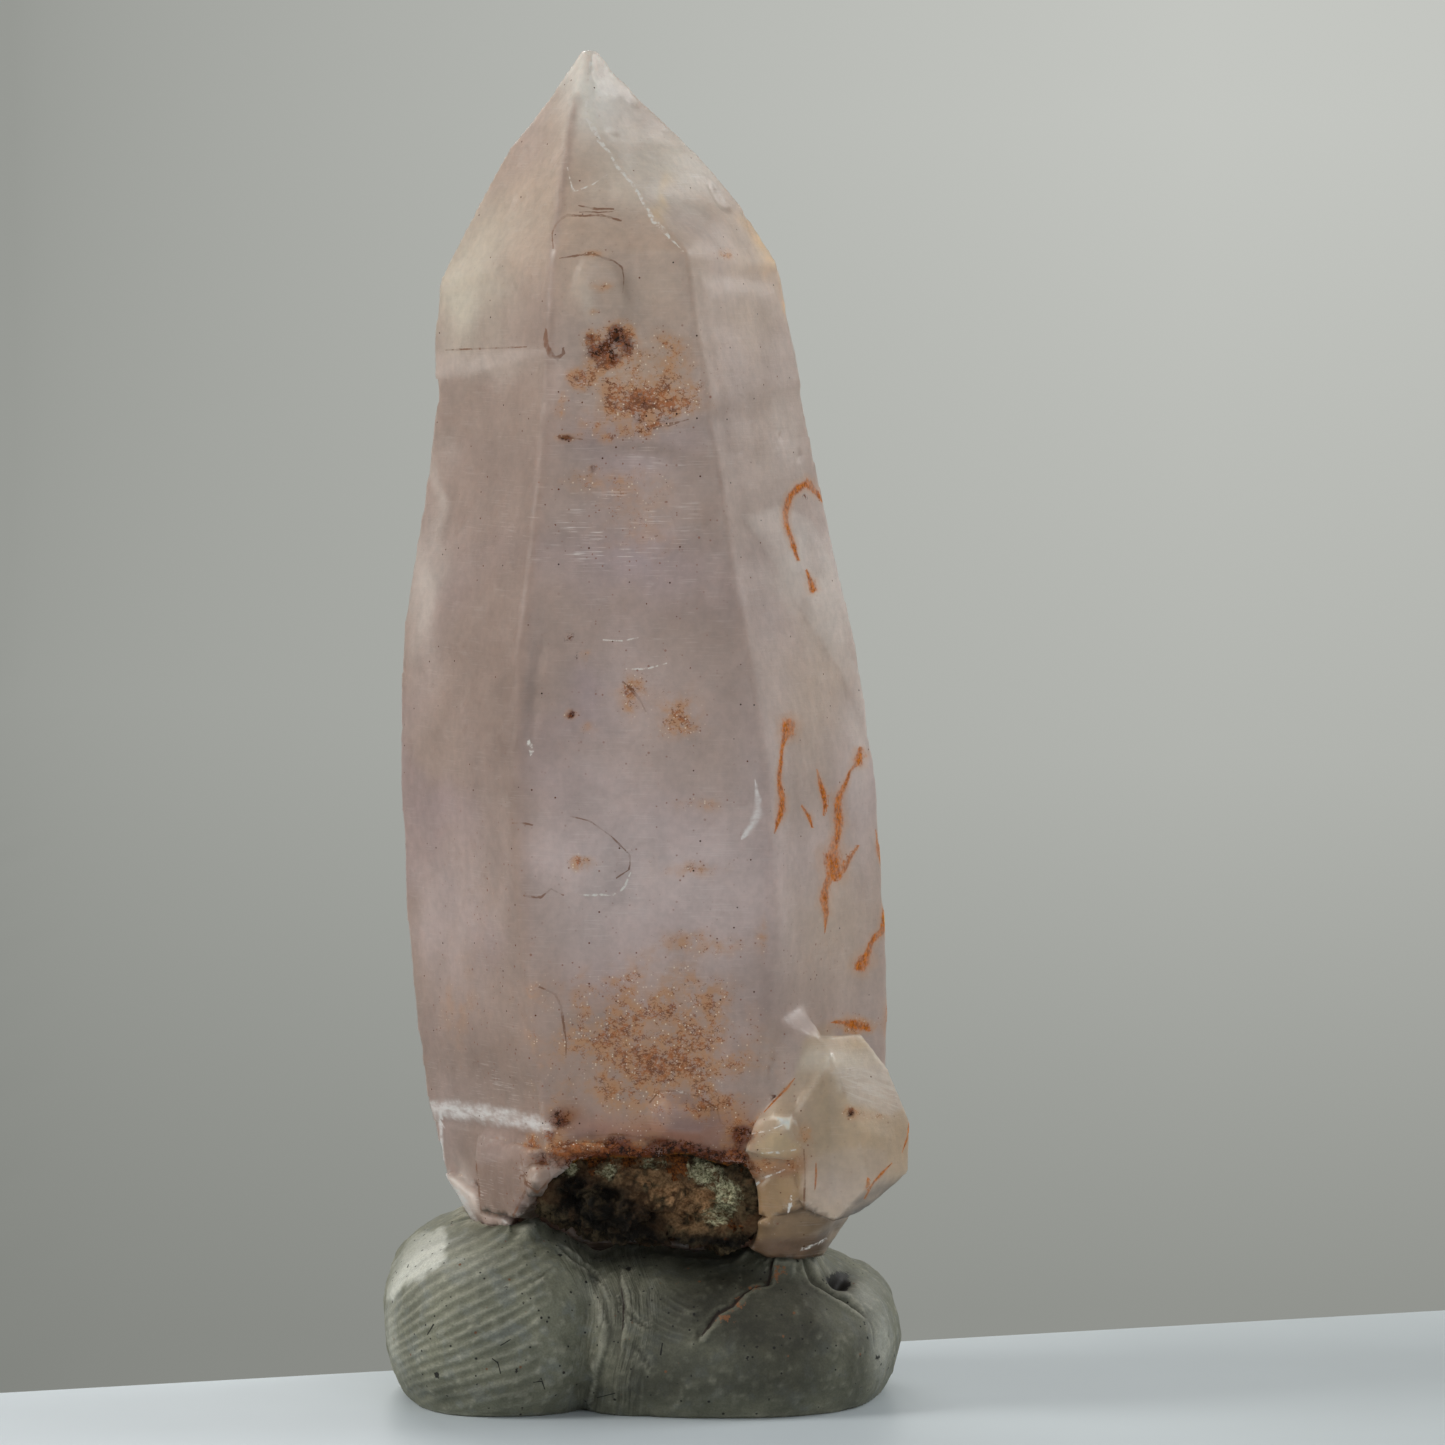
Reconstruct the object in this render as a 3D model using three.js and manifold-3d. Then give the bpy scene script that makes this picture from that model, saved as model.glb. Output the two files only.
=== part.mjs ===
// A skeletal amethyst point, 44 mm tall, with small quartz crystals grown on its foot and a crust of
// matrix under it, pressed upright into a lump of grey putty.
// Millimetres, +Z up, seen from -Y. The origin is under the middle of the whole, on the putty's flat
// underside.
import * as THREE from "three";
import { ConvexGeometry } from "three/addons/geometries/ConvexGeometry.js";
import { mergeVertices } from "three/addons/utils/BufferGeometryUtils.js";
import Module from "manifold-3d";

const wasm = await Module();
wasm.setup();

// Driving dimensions

const GAP = 0.32; // between pieces that touch
const FLOOR = 0.25; // height of the putty's underside before the whole is moved down to stand on z = 0
const LEDGE = 0.13; // height of one growth layer on a face
const BEVEL = 0.2; // run of a growth layer's sloping rim
const SINK = 0.5; // how far a layer's solid reaches into the crystal
const WINDOW = 0.4; // depth of one step of a skeletal window
const FADED = -0.3; // height, in ledges, where a layer has sunk into its face
const END_SLOPE = 0.12; // share of a patch's last stretch that its sloping end runs on for
const END_DEPTH = 0.9; // share of the patch's inner depth that the end slopes to
const APEX = { x: -1.86, y: -0.2, z: 49.25, half: 0.26 }; // the tip is worn to a short edge

// Rings of the shaft: z, then the x of its left, front left, front right and right corners, then the y
// of its front and back faces.
const SHAFT_ROWS = [
  [8.1, -7.1, -3.1, 4.3, 8.3, -6.2, 6.0],
  [10.6, -7.75, -3.4, 4.6, 8.9, -6.6, 6.5],
  [14.3, -8.3, -3.82, 4.85, 9.05, -6.9, 6.85],
  [18.3, -8.6, -4.2, 5.0, 8.9, -7.03, 7.0],
  [23.4, -8.8, -4.47, 4.66, 8.5, -6.97, 6.9],
  [27.8, -8.7, -4.3, 3.96, 7.8, -6.75, 6.7],
  [30.7, -8.25, -3.93, 3.42, 7.1, -6.5, 6.45],
  [33.6, -7.55, -3.6, 3.0, 6.45, -6.25, 6.2],
  [38.8, -7.35, -3.2, 2.12, 5.45, -5.9, 5.95],
];

// Rings of the head that grew over the shaft, from its rim up to the tip. Each ring's six corners run
// counterclockwise seen from above: right, back right, back left, left, front left, front right.
const HEAD_RINGS = [
  [[5.93, 0.2, 36.8], [2.75, 6.2, 36.0], [-3.7, 6.25, 37.2], [-7.5, 0, 37.3], [-3.32, -6.08, 38.3],
    [2.68, -6.18, 36.3]],
  [[5.45, 0.2, 39.0], [2.55, 6.1, 38.6], [-3.5, 6.1, 39.2], [-7.45, 0, 39.4], [-3.2, -6.12, 39.4],
    [2.1, -6.1, 39.2]],
  [[4.95, 0.2, 41.6], [2.3, 5.6, 42.6], [-3.3, 5.9, 41.3], [-7.35, 0, 40.9], [-3.05, -5.95, 42.0],
    [1.75, -5.95, 42.0]],
  [[3.6, 0.2, 43.7], [1.6, 4.4, 44.2], [-3.15, 4.5, 43.8], [-5.6, 0, 44.15], [-2.87, -4.4, 43.95],
    [0.15, -4.4, 43.9]],
  [[1.75, 0.2, 45.8], [0.6, 2.6, 46.0], [-2.85, 2.75, 46.0], [-4.7, 0, 45.75], [-2.63, -2.9, 45.9],
    [-1.22, -2.85, 45.85]],
  [[-0.08, 0.1, 47.5], [-0.95, 1.2, 47.6], [-2.45, 1.3, 47.6], [-3.3, 0, 47.5], [-2.38, -1.55, 47.55],
    [-1.84, -1.6, 47.5]],
  tipRing(),
];
const FACE = { backRight: 0, back: 1, backLeft: 2, left: 3, front: 4, right: 5 };

// Growth layers and skeletal windows on the shaft. A station is [z, share of the face's width where the
// layer starts, share where it ends, its height in ledges (1 if not given)], counted counterclockwise
// seen from above.
const SHAFT_LAYERS = [
  // the long layer of the front face, a small plate grown on it, and the layer that the rust lies on
  {
    face: "front",
    stations: [
      [10.9, 0.06, 1, FADED], [13.2, 0.06, 1], [22, 0.07, 1], [29.5, 0.1, 1], [33.4, 0.12, 1, FADED],
    ],
  },
  {
    face: "front",
    stations: [[19.2, 0.18, 0.38, 2], [20.1, 0.18, 0.43, 2], [20.6, 0.18, 0.43, 2], [21.9, 0.2, 0.27, 2]],
  },
  {
    face: "front",
    stations: [[35.35, 0.05, 0.35], [35.6, 0.02, 0.75], [35.9, 0.02, 1], [37.5, 0.04, 1], [40.2, 0.08, 0.96]],
  },
  // the right face, its upper half covered by a layer with a slanting edge
  {
    face: "right",
    stations: [
      [24.9, 0.95, 1], [26.3, 0.83, 1], [27.7, 0.66, 1], [29.2, 0.58, 1], [30.3, 0.445, 1], [31.5, 0.3, 1],
      [32.3, 0.16, 1], [36.8, 0.1, 1],
    ],
  },
  // the left face
  {
    face: "left",
    stations: [[11.4, 0, 0.97, FADED], [13.6, 0, 0.97], [24.4, 0, 0.97], [28.2, 0, 0.97, FADED]],
  },
  // the three faces behind
  {
    face: "backRight",
    stations: [[12.4, 0, 1, FADED], [14, 0, 1], [20, 0, 1], [29, 0, 0.7], [33.6, 0, 0.3]],
  },
  { face: "back", stations: [[9.6, 0, 0.8, FADED], [11, 0, 1], [28, 0, 1], [34.2, 0.3, 1]] },
  {
    face: "back",
    stations: [[12.6, 0.08, 0.92, 2], [18, 0.06, 0.94, 2], [28, 0.08, 0.93, 2], [33, 0.2, 0.88, 2]],
  },
  { face: "backLeft", stations: [[10.6, 0, 0.7, FADED], [12.2, 0, 1], [23.4, 0, 1], [24.6, 0.3, 1]] },
  { face: "backLeft", stations: [[26.6, 0.4, 1], [28.4, 0, 1], [36.4, 0, 1]] },
];
const SHAFT_WINDOWS = [
  { face: "back", stations: [[13.6, 0.42, 0.66], [15.8, 0.22, 0.72], [26, 0.2, 0.8], [31.4, 0.44, 0.68]] },
  {
    face: "back",
    stations: [[16.6, 0.4, 0.56], [19, 0.3, 0.62], [25, 0.3, 0.7], [28.6, 0.46, 0.62]],
    drop: 1,
  },
  { face: "backRight", stations: [[14.8, 0.5, 0.66], [17.4, 0.28, 0.76], [22.6, 0.4, 0.6]] },
  { face: "backLeft", stations: [[13.6, 0.3, 0.54], [15.8, 0.24, 0.74], [20.4, 0.44, 0.66]] },
];
// The same on the head, with stations counted in rings from its rim.
const HEAD_LAYERS = [
  // two terraces with rounded tops on the front
  {
    face: "front",
    stations: [[0.95, 0.1, 0.66, FADED], [1.45, 0.12, 0.56, 2], [1.75, 0.14, 0.52, 2], [1.93, 0.2, 0.4, 2]],
  },
  {
    face: "front",
    stations: [[1.96, 0.02, 0.64, FADED], [2.25, 0.03, 0.6], [2.45, 0.05, 0.56], [2.68, 0.12, 0.42]],
  },
  { face: "right", stations: [[0.06, 0.1, 1], [1, 0.08, 1], [1.6, 0.12, 0.92]] },
  { face: "backRight", stations: [[0.2, 0, 1], [1.85, 0, 1]] },
  { face: "backRight", stations: [[2.1, 0.12, 0.9], [3.6, 0.2, 0.8], [4.4, 0.3, 0.6]] },
  { face: "back", stations: [[2.1, 0.1, 0.9], [3.2, 0.18, 0.84], [4.4, 0.3, 0.7]] },
  { face: "backLeft", stations: [[0.2, 0, 1], [1.85, 0, 1]] },
];
const HEAD_WINDOWS = [
  { face: "back", stations: [[0.5, 0.34, 0.6], [1.1, 0.2, 0.78], [1.7, 0.36, 0.7]] },
  { face: "backLeft", stations: [[2.3, 0.3, 0.72], [3.4, 0.36, 0.64]] },
];

// Blocks of the broken foot and the small crystals on it, each the convex body of its corners.
const FOOT_BLOCKS = {
  // the step on the left, its front a little proud of the shaft
  leftStep: [
    [-6.04, -2.9, 9.0], [-5.8, -3.1, 7.25], [-5.3, -4.2, 7.3], [-4.45, -5.5, 7.3], [-4.3, -6.0, 9.1],
    [-3.9, -6.35, 9.9], [-3.4, -6.3, 9.9], [-3.5, -6.0, 8.4], [-5.9, -2.8, 10], [-5.7, -0.5, 7.3],
    [-2.8, -2.4, 7], [-3, -1, 10], [-5.9, -0.6, 9.6],
  ],
  leftFlake: [
    [-7.15, -0.8, 8.3], [-6.8, -1.0, 7.7], [-6.1, -1.6, 7.15], [-5.95, -1.9, 6.4], [-5.3, -3.4, 6.8],
    [-4.7, -4.2, 6.9], [-7.0, 1.2, 8.4], [-6.1, 1.7, 6.4], [-5.2, 0.4, 5.7], [-3.6, 2.4, 5.6],
    [-3.6, -1, 8.4], [-4, 2, 8.8],
  ],
  root: [
    [-4.4, -2.2, 5.2], [-2.2, -2.6, 4.7], [1.9, -2.5, 4.9], [4.6, -1.6, 4.7], [5.5, 1.3, 5.0],
    [3.2, 3.6, 4.6], [-1.2, 3.9, 4.8], [-4.2, 2.4, 5.1], [-6.2, -1.6, 9], [-3.2, -4.2, 9],
    [3.9, -4.4, 9], [7.3, 0.4, 9], [4.2, 5.4, 9], [-3.5, 5.4, 9], [-6.3, 1.6, 9],
  ],
  backStep: [
    [-4.6, 4.6, 6.6], [-1.4, 5.6, 6.2], [0.3, 5.2, 6.5], [-5.4, 3.2, 6.9], [-5.6, 3.0, 9.6], [-3.9, 6.3, 9.4],
    [0.9, 6.5, 9.2], [0.6, 3, 6.4], [0.8, 3, 9.4], [-4, 1, 6.7],
  ],
  backFlake: [
    [2.2, 5.4, 7.1], [4.4, 4.4, 6.6], [6.2, 2.2, 6.9], [7.5, 1.4, 8.6], [4.6, 5.6, 9.3], [1.6, 6.3, 9.2],
    [1.8, 2, 6.5], [5.4, -0.6, 6.9], [3, 1, 9.4],
  ],
};
const SIDE_CRYSTALS = {
  // the large crystal on the right, blunt at both ends
  rightPoint: [
    [6.22, -6.38, 13.56], [6.48, -6.2, 13.99], [7.04, -6.52, 12.74], [7.93, -5.12, 13.95],
    [8.88, -4.78, 12.68], [9.61, -4.85, 10.97], [9.72, -4.64, 10.62], [9.64, -5.21, 8.91],
    [7.81, -6.7, 10.7], [8.87, -5.9, 10.22],
    [8.96, -6.06, 9.18], [8.19, -6.83, 8.69], [6.91, -6.77, 7.35], [5.9, -6.65, 7.79], [5.89, -6.55, 9.8],
    [8.62, -5.6, 8.12], [7.72, -6.0, 7.49], [6.6, -2.4, 13.4], [8.6, -1.8, 12.0], [9.1, -1.6, 9.4],
    [7.4, -2.0, 7.8], [5.4, -2, 8.4],
  ],
  // the crystal that lies under it and touches the putty
  lowPoint: [
    [7.72, -4.4, 7.51], [6.67, -4.6, 6.23], [6.64, -4.3, 5.79], [5.73, -5.2, 5.77], [4.68, -5.7, 5.91],
    [3.75, -5.6, 6.3], [3.93, -6.1, 7.05], [4.71, -6.5, 7.51], [5.89, -6.4, 7.9], [6.9, -5.9, 7.6],
    [4.2, -2, 5.9], [7.5, -1.8, 7.8], [6.5, -2.0, 5.7], [4.4, -2, 8.4],
  ],
  // short ones between the two and the front face
  middlePoint: [
    [4.0, -5.9, 8.15], [4.14, -6.3, 8.49], [4.42, -6.5, 8.7], [4.78, -6.6, 9.03], [5.25, -6.7, 9.15],
    [5.9, -6.6, 9.21], [5.53, -6.9, 8.28], [5.9, -6.5, 7.83], [5.28, -6.7, 7.68], [4.68, -6.5, 7.5],
    [4.03, -6.1, 7.6], [4.4, -4, 7.4], [6.0, -4, 9.2], [4.4, -4, 8.8],
  ],
  upperPoint: [
    [5.64, -5.9, 12.55], [5.03, -6.6, 12.06], [4.14, -6.95, 11.03], [3.92, -7.0, 10.36], [3.74, -6.9, 9.91],
    [4.78, -7.3, 11.24], [5.42, -7.3, 11.21], [5.34, -7.6, 10.85], [5.9, -6.8, 9.85], [4.67, -7.2, 9.8],
    [5.97, -5.5, 12.9], [6.4, -4, 12.8], [4.0, -5, 9.6], [6.2, -4, 9.4],
  ],
  frontBud: [
    [0.42, -6.75, 11.73], [0.74, -6.8, 12.1], [1.49, -6.85, 12.07], [2.21, -6.85, 11.82], [2.74, -6.8, 11.49],
    [2.85, -6.75, 11.06], [1.99, -7.0, 10.5], [0.89, -7.2, 11.31], [1.46, -7.3, 11.5], [2.17, -7.2, 11.2],
    [0.56, -6.7, 10.4], [2.71, -6.7, 10.3], [0.6, -5.8, 10.4], [2.6, -5.8, 11.9], [0.8, -5.8, 12],
  ],
  leftBud: [
    [-4.37, -5.6, 8.76], [-4.26, -5.75, 8.99], [-3.86, -6.1, 9.39], [-3.64, -6.2, 9.44], [-3.28, -6.3, 9.35],
    [-3.13, -6.35, 8.92], [-4.3, -5.7, 8.45], [-3.97, -5.9, 8.15], [-3.5, -6.1, 8.2], [-3.73, -6.75, 8.85],
    [-4.0, -4.6, 9.2], [-3.3, -4.6, 8.3],
  ],
};
// Small crystals behind: centre of the six-sided body, its radius, half length, the length of its two
// points, the tilt of its long axis about X and Y, and its turn about itself, in degrees.
const BACK_CRYSTALS = [
  { at: [7.0, 2.6, 9.8], radius: 1.75, half: 1.3, points: [1.5, 1.5], tilt: [-14, 12], turn: 30 },
  { at: [5.0, 5.0, 8.9], radius: 1.35, half: 0.8, points: [1.1, 1.1], tilt: [-34, 4], turn: 15 },
  { at: [-5.8, 3.8, 9.2], radius: 1.15, half: 0.8, points: [1.2, 1.0], tilt: [-26, -22], turn: 10 },
];
const TIP_SHARE = 0.14; // of a back crystal's radius, left at its worn points
const NARROW_SHARE = 0.92; // of it, at every second edge

// Lumps, as [centre, half sizes] in mm.
const CRUST = {
  lumps: [
    [[0.35, -4.4, 8.3], [3.75, 1.95, 1.45]],
    [[-0.6, -4.55, 8.0], [1.7, 1.95, 1.5]],
    [[2.5, -4.5, 7.8], [1.5, 1.9, 1.6]],
  ],
  detail: 4, // how finely a lump's sphere is divided
  roughness: 0.09, // share of a lump's size
  pitch: 0.42,
  squareness: 4,
};
const PUTTY = {
  lumps: [
    [[-4.9, -0.6, 2.9], [4.5, 6.7, 4.1]],
    [[2.9, -0.4, 2.2], [6.45, 6.8, 3.8]],
    [[0.1, -0.5, 2.5], [3.4, 6.6, 3.7]],
    [[7.1, 1.2, 2.9], [2.2, 4.0, 1.9]],
    [[-0.4, 3.2, 2.9], [7.8, 4.2, 3.7]],
  ],
  detail: 6,
  roughness: 0.035,
  pitch: 1.5,
  squareness: 2.4,
};

// Geometry helpers

function solid(geometry) {
  const bare = geometry.clone();
  bare.deleteAttribute("normal");
  bare.deleteAttribute("uv");
  const merged = mergeVertices(bare, 1e-4);
  return new wasm.Manifold(
    new wasm.Mesh({
      numProp: 3,
      vertProperties: merged.attributes.position.array,
      triVerts: new Uint32Array(merged.index.array),
    }),
  );
}

// The convex body of some points, or with a margin that body grown by at least it on every side.
function hull(points, margin = 0) {
  const shifts = margin ? [-margin, margin] : [0];
  const cloud = [];
  for (const [x, y, z] of points)
    for (const dx of shifts)
      for (const dy of shifts) for (const dz of shifts) cloud.push(new THREE.Vector3(x + dx, y + dy, z + dz));
  return solid(new ConvexGeometry(cloud));
}

function join(solids) {
  return solids.reduce((all, one) => all.add(one));
}

// Joins rings of equal length into a closed skin. Each ring runs counterclockwise seen from above.
function loft(rings) {
  const count = rings[0].length;
  const points = rings.flat();
  const triangles = [];
  for (let r = 0; r + 1 < rings.length; r += 1)
    for (let k = 0; k < count; k += 1) {
      const a = r * count + k;
      const b = r * count + ((k + 1) % count);
      triangles.push(a, b, b + count, a, b + count, a + count);
    }
  const centre = (ring) => [0, 1, 2].map((axis) => ring.reduce((sum, p) => sum + p[axis], 0) / count);
  const low = points.push(centre(rings[0])) - 1;
  const high = points.push(centre(rings[rings.length - 1])) - 1;
  const top = (rings.length - 1) * count;
  for (let k = 0; k < count; k += 1) {
    const next = (k + 1) % count;
    triangles.push(low, next, k, high, top + k, top + next);
  }
  const geometry = new THREE.BufferGeometry();
  geometry.setAttribute("position", new THREE.Float32BufferAttribute(points.flat(), 3));
  geometry.setIndex(triangles);
  return solid(geometry);
}

// The main point

function shaftRing([z, left, frontLeft, frontRight, right, front, back]) {
  const narrower = 0.2; // the back face is shifted a little against the front one
  return [
    [right, narrower, z],
    [frontRight - narrower, back, z],
    [frontLeft - narrower, back, z],
    [left, 0, z],
    [frontLeft, front, z],
    [frontRight, front, z],
  ];
}

function tipRing() {
  const { x, y, z, half } = APEX;
  return [
    [x + half, y + half, z],
    [x + half / 2, y + 2 * half, z],
    [x - half / 2, y + 2 * half, z],
    [x - half, y + half, z],
    [x - half / 2, y, z],
    [x + half / 2, y, z],
  ];
}

// A point of a lofted face: along is counted in rings, across runs from the face's first corner to its
// second.
function onFace(rings, face, along, across) {
  const low = Math.max(0, Math.min(Math.floor(along), rings.length - 2));
  const corner = (ring, k) => new THREE.Vector3(...rings[ring][k % 6]);
  const edge = (k) => corner(low, k).lerp(corner(low + 1, k), along - low);
  return edge(face).lerp(edge(face + 1), across);
}

function faceNormal(rings, face, along) {
  const step = 0.05;
  const low = onFace(rings, face, along - step, 0.5);
  const up = onFace(rings, face, along + step, 0.5).sub(low);
  const side = onFace(rings, face, along, 1).sub(onFace(rings, face, along, 0));
  return side.cross(up).normalize();
}

// The body over a patch of a face, from the depth inner to the depth of each station, with sloping rims
// and ends. A station is [along, start, end, depth].
function patch(rings, face, stations, inner, slope) {
  const section = ([along, start, end, depth]) => {
    const normal = faceNormal(rings, face, along);
    const width = onFace(rings, face, along, 0).distanceTo(onFace(rings, face, along, 1));
    const rim = Math.min(slope / width, (end - start) / 3);
    const corner = (across, out) => onFace(rings, face, along, across).addScaledVector(normal, out).toArray();
    return [corner(start, inner), corner(start + rim, depth), corner(end - rim, depth), corner(end, inner)];
  };
  const [first, second] = stations;
  const [beforeLast, last] = stations.slice(-2);
  const beyond = ([along, start, end], [next]) => [
    along + END_SLOPE * (along - next), start, end, END_DEPTH * inner,
  ];
  return loft([beyond(first, second), ...stations, beyond(last, beforeLast)].map(section));
}

function layer(rings, { face, stations }) {
  const raised = stations.map(([along, start, end, height = 1]) => [along, start, end, LEDGE * height]);
  return patch(rings, FACE[face], raised, -SINK, BEVEL);
}

function windowCut(rings, { face, stations, drop = 0 }) {
  const floor = LEDGE - WINDOW * (1 + drop);
  const opened = stations.map(([along, start, end]) => [along, start, end, 2 * SINK]);
  return patch(rings, FACE[face], opened, floor, -BEVEL);
}

// Turns heights into the count of rings that onFace wants.
function alongShaft({ stations, ...rest }) {
  const heights = SHAFT_ROWS.map((row) => row[0]);
  const along = (z) => {
    const below = heights.findLastIndex((height) => height <= z);
    const low = Math.max(0, Math.min(below, heights.length - 2));
    return low + (z - heights[low]) / (heights[low + 1] - heights[low]);
  };
  return { ...rest, stations: stations.map(([z, ...others]) => [along(z), ...others]) };
}

function backCrystalCorners({ at, radius, half, points: [up, down], tilt, turn }) {
  const rad = THREE.MathUtils.degToRad;
  const place = new THREE.Matrix4()
    .makeRotationFromEuler(new THREE.Euler(rad(tilt[0]), rad(tilt[1]), rad(turn), "XYZ"))
    .setPosition(...at);
  const tipRadius = TIP_SHARE * radius;
  const corners = [];
  for (let k = 0; k < 6; k += 1) {
    const wide = radius * (k % 2 ? NARROW_SHARE : 1);
    for (const [r, z] of [[wide, half], [wide, -half], [tipRadius, half + up], [tipRadius, -half - down]])
      corners.push(new THREE.Vector3(r * Math.cos(rad(60 * k)), r * Math.sin(rad(60 * k)), z));
  }
  return corners.map((corner) => corner.applyMatrix4(place).toArray());
}

const FOOT = [
  ...Object.values(FOOT_BLOCKS),
  ...Object.values(SIDE_CRYSTALS),
  ...BACK_CRYSTALS.map(backCrystalCorners),
];

function crystal() {
  const shaftRings = SHAFT_ROWS.map(shaftRing);
  const layers = [
    ...SHAFT_LAYERS.map((spec) => layer(shaftRings, alongShaft(spec))),
    ...HEAD_LAYERS.map((spec) => layer(HEAD_RINGS, spec)),
  ];
  const windows = [
    ...SHAFT_WINDOWS.map((spec) => windowCut(shaftRings, alongShaft(spec))),
    ...HEAD_WINDOWS.map((spec) => windowCut(HEAD_RINGS, spec)),
  ];
  const point = join([loft(shaftRings), loft(HEAD_RINGS), ...layers]).subtract(join(windows));
  return join([point, ...FOOT.map((corners) => hull(corners))]).subtract(lumps(CRUST, GAP));
}

// The crust and the putty

// A smooth unevenness between about -1 and 1.
function unevenness(x, y, z, pitch) {
  const [a, b, c] = [x / pitch, y / pitch, z / pitch];
  return (Math.sin(a + 1.3 * Math.sin(b + 0.7)) + Math.sin(b * 1.2 + 1.1 * Math.sin(c + 2.1))
    + Math.sin(c * 1.1 + 1.4 * Math.sin(a * 0.9 + 4.2))) / 3;
}

// One lump: a rounded block with an uneven skin, grown by a margin.
function lump([[x, y, z], half], { detail, roughness, pitch, squareness }, margin) {
  const geometry = new THREE.IcosahedronGeometry(1, detail);
  const position = geometry.attributes.position;
  const [rx, ry, rz] = half.map((r) => r + margin);
  for (let k = 0; k < position.count; k += 1) {
    const point = new THREE.Vector3().fromBufferAttribute(position, k);
    const powers = point.toArray().map((part) => Math.abs(part) ** squareness);
    const norm = (powers[0] + powers[1] + powers[2]) ** (1 / squareness);
    const [px, py, pz] = point.divideScalar(norm).toArray();
    const swell = 1 + roughness * unevenness(x + half[0] * px, y + half[1] * py, z + half[2] * pz, pitch);
    position.setXYZ(k, x + rx * px * swell, y + ry * py * swell, z + rz * pz * swell);
  }
  return solid(geometry);
}

function lumps(spec, margin = 0) {
  return join(spec.lumps.map((one) => lump(one, spec, margin)));
}

function putty() {
  const seat = join([lumps(CRUST, GAP), ...FOOT.map((corners) => hull(corners, GAP))]);
  const below = new THREE.BoxGeometry(40, 40, 10).translate(0, 0, FLOOR - 5);
  return lumps(PUTTY).subtract(solid(below)).subtract(seat);
}

// The whole

const materials = {
  amethyst: new THREE.MeshStandardMaterial({ name: "amethyst", color: 0xb9a5a6, roughness: 0.32 }),
  matrix: new THREE.MeshStandardMaterial({ name: "matrix", color: 0x6f6a52, roughness: 0.95 }),
  putty: new THREE.MeshStandardMaterial({ name: "putty", color: 0x85867a, roughness: 0.85 }),
};

const specimen = new THREE.Group();

function place(name, body, material) {
  const { vertProperties, triVerts, numProp } = body.getMesh();
  const positions = new Float32Array((vertProperties.length / numProp) * 3);
  for (let k = 0; k < positions.length / 3; k += 1)
    positions.set(vertProperties.subarray(k * numProp, k * numProp + 3), k * 3);
  const geometry = new THREE.BufferGeometry();
  geometry.setAttribute("position", new THREE.BufferAttribute(positions, 3));
  geometry.setIndex(new THREE.BufferAttribute(triVerts, 1));
  const mesh = new THREE.Mesh(geometry, material);
  mesh.name = name;
  specimen.add(mesh);
}

place("amethyst_point", crystal(), materials.amethyst);
place("matrix_crust", lumps(CRUST), materials.matrix);
place("putty_base", putty(), materials.putty);

const box = new THREE.Box3().setFromObject(specimen);
const middle = box.getCenter(new THREE.Vector3());
specimen.position.set(-middle.x, -middle.y, -box.min.z);

export default specimen;
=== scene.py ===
"""The looks of a skeletal amethyst point that stands in a lump of putty.

Lengths are metres. A place on the front is given as a photo pixel (u to the right, v down, in a frame
1445 pixels wide and high) and is carried along the camera's ray onto the piece that it lies on.
"""
import math
from itertools import product

import bmesh
import bpy
import numpy as np
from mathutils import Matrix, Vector
from mathutils.bvhtree import BVHTree


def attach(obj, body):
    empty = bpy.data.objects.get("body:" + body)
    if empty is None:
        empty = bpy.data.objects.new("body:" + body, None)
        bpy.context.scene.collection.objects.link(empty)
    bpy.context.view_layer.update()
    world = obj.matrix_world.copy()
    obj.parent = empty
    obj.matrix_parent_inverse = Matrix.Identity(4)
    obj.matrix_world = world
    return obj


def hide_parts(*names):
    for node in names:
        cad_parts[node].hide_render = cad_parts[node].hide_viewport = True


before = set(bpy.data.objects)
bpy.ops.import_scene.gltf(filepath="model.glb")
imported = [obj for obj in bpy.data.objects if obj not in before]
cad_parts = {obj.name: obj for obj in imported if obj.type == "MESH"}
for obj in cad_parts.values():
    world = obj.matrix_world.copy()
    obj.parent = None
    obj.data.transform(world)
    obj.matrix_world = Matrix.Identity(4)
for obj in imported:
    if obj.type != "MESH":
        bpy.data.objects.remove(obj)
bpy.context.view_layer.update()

MM = 0.001

# The camera, whose rays also carry the photo pixels

PHOTO_SIDE = 1445
PIXEL = 0.0365 * MM  # size of a pixel at the camera's target
LENS = 190
SENSOR = 36
TILT = math.radians(4)  # how far the camera looks down
TARGET = np.array([2.833, 0.122, 24.55]) * MM
RIGHT = np.array([1.0, 0.0, 0.0])
FORWARD = np.array([0.0, math.cos(TILT), -math.sin(TILT)])
UP = np.array([0.0, math.sin(TILT), math.cos(TILT)])
DISTANCE = PHOTO_SIDE * PIXEL / SENSOR * LENS
EYE = TARGET - FORWARD * DISTANCE
MIDDLE = PHOTO_SIDE / 2


def pixels_of(points):
    """Where the camera sees points, as photo pixels."""
    away = points - EYE
    scale = DISTANCE / (away @ FORWARD) / PIXEL
    return np.stack([MIDDLE + away @ RIGHT * scale, MIDDLE - away @ UP * scale], axis=1)


def ray(u, v):
    """The direction in which the camera sees a photo pixel."""
    reach = PIXEL / DISTANCE
    return Vector(FORWARD + RIGHT * (u - MIDDLE) * reach + UP * (MIDDLE - v) * reach).normalized()


# Numbers over the points of a mesh

NOISE_STEP = np.array([17.3, 5.7, 11.9])  # what a seed moves the noise by, in cells
HASH_FACTORS = (np.uint32(73856093), np.uint32(19349663), np.uint32(83492791))
HASH_MIX = np.uint32(2654435761)
NOISE_GAIN = 1.7  # brings gradient noise to about -1..1


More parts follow.
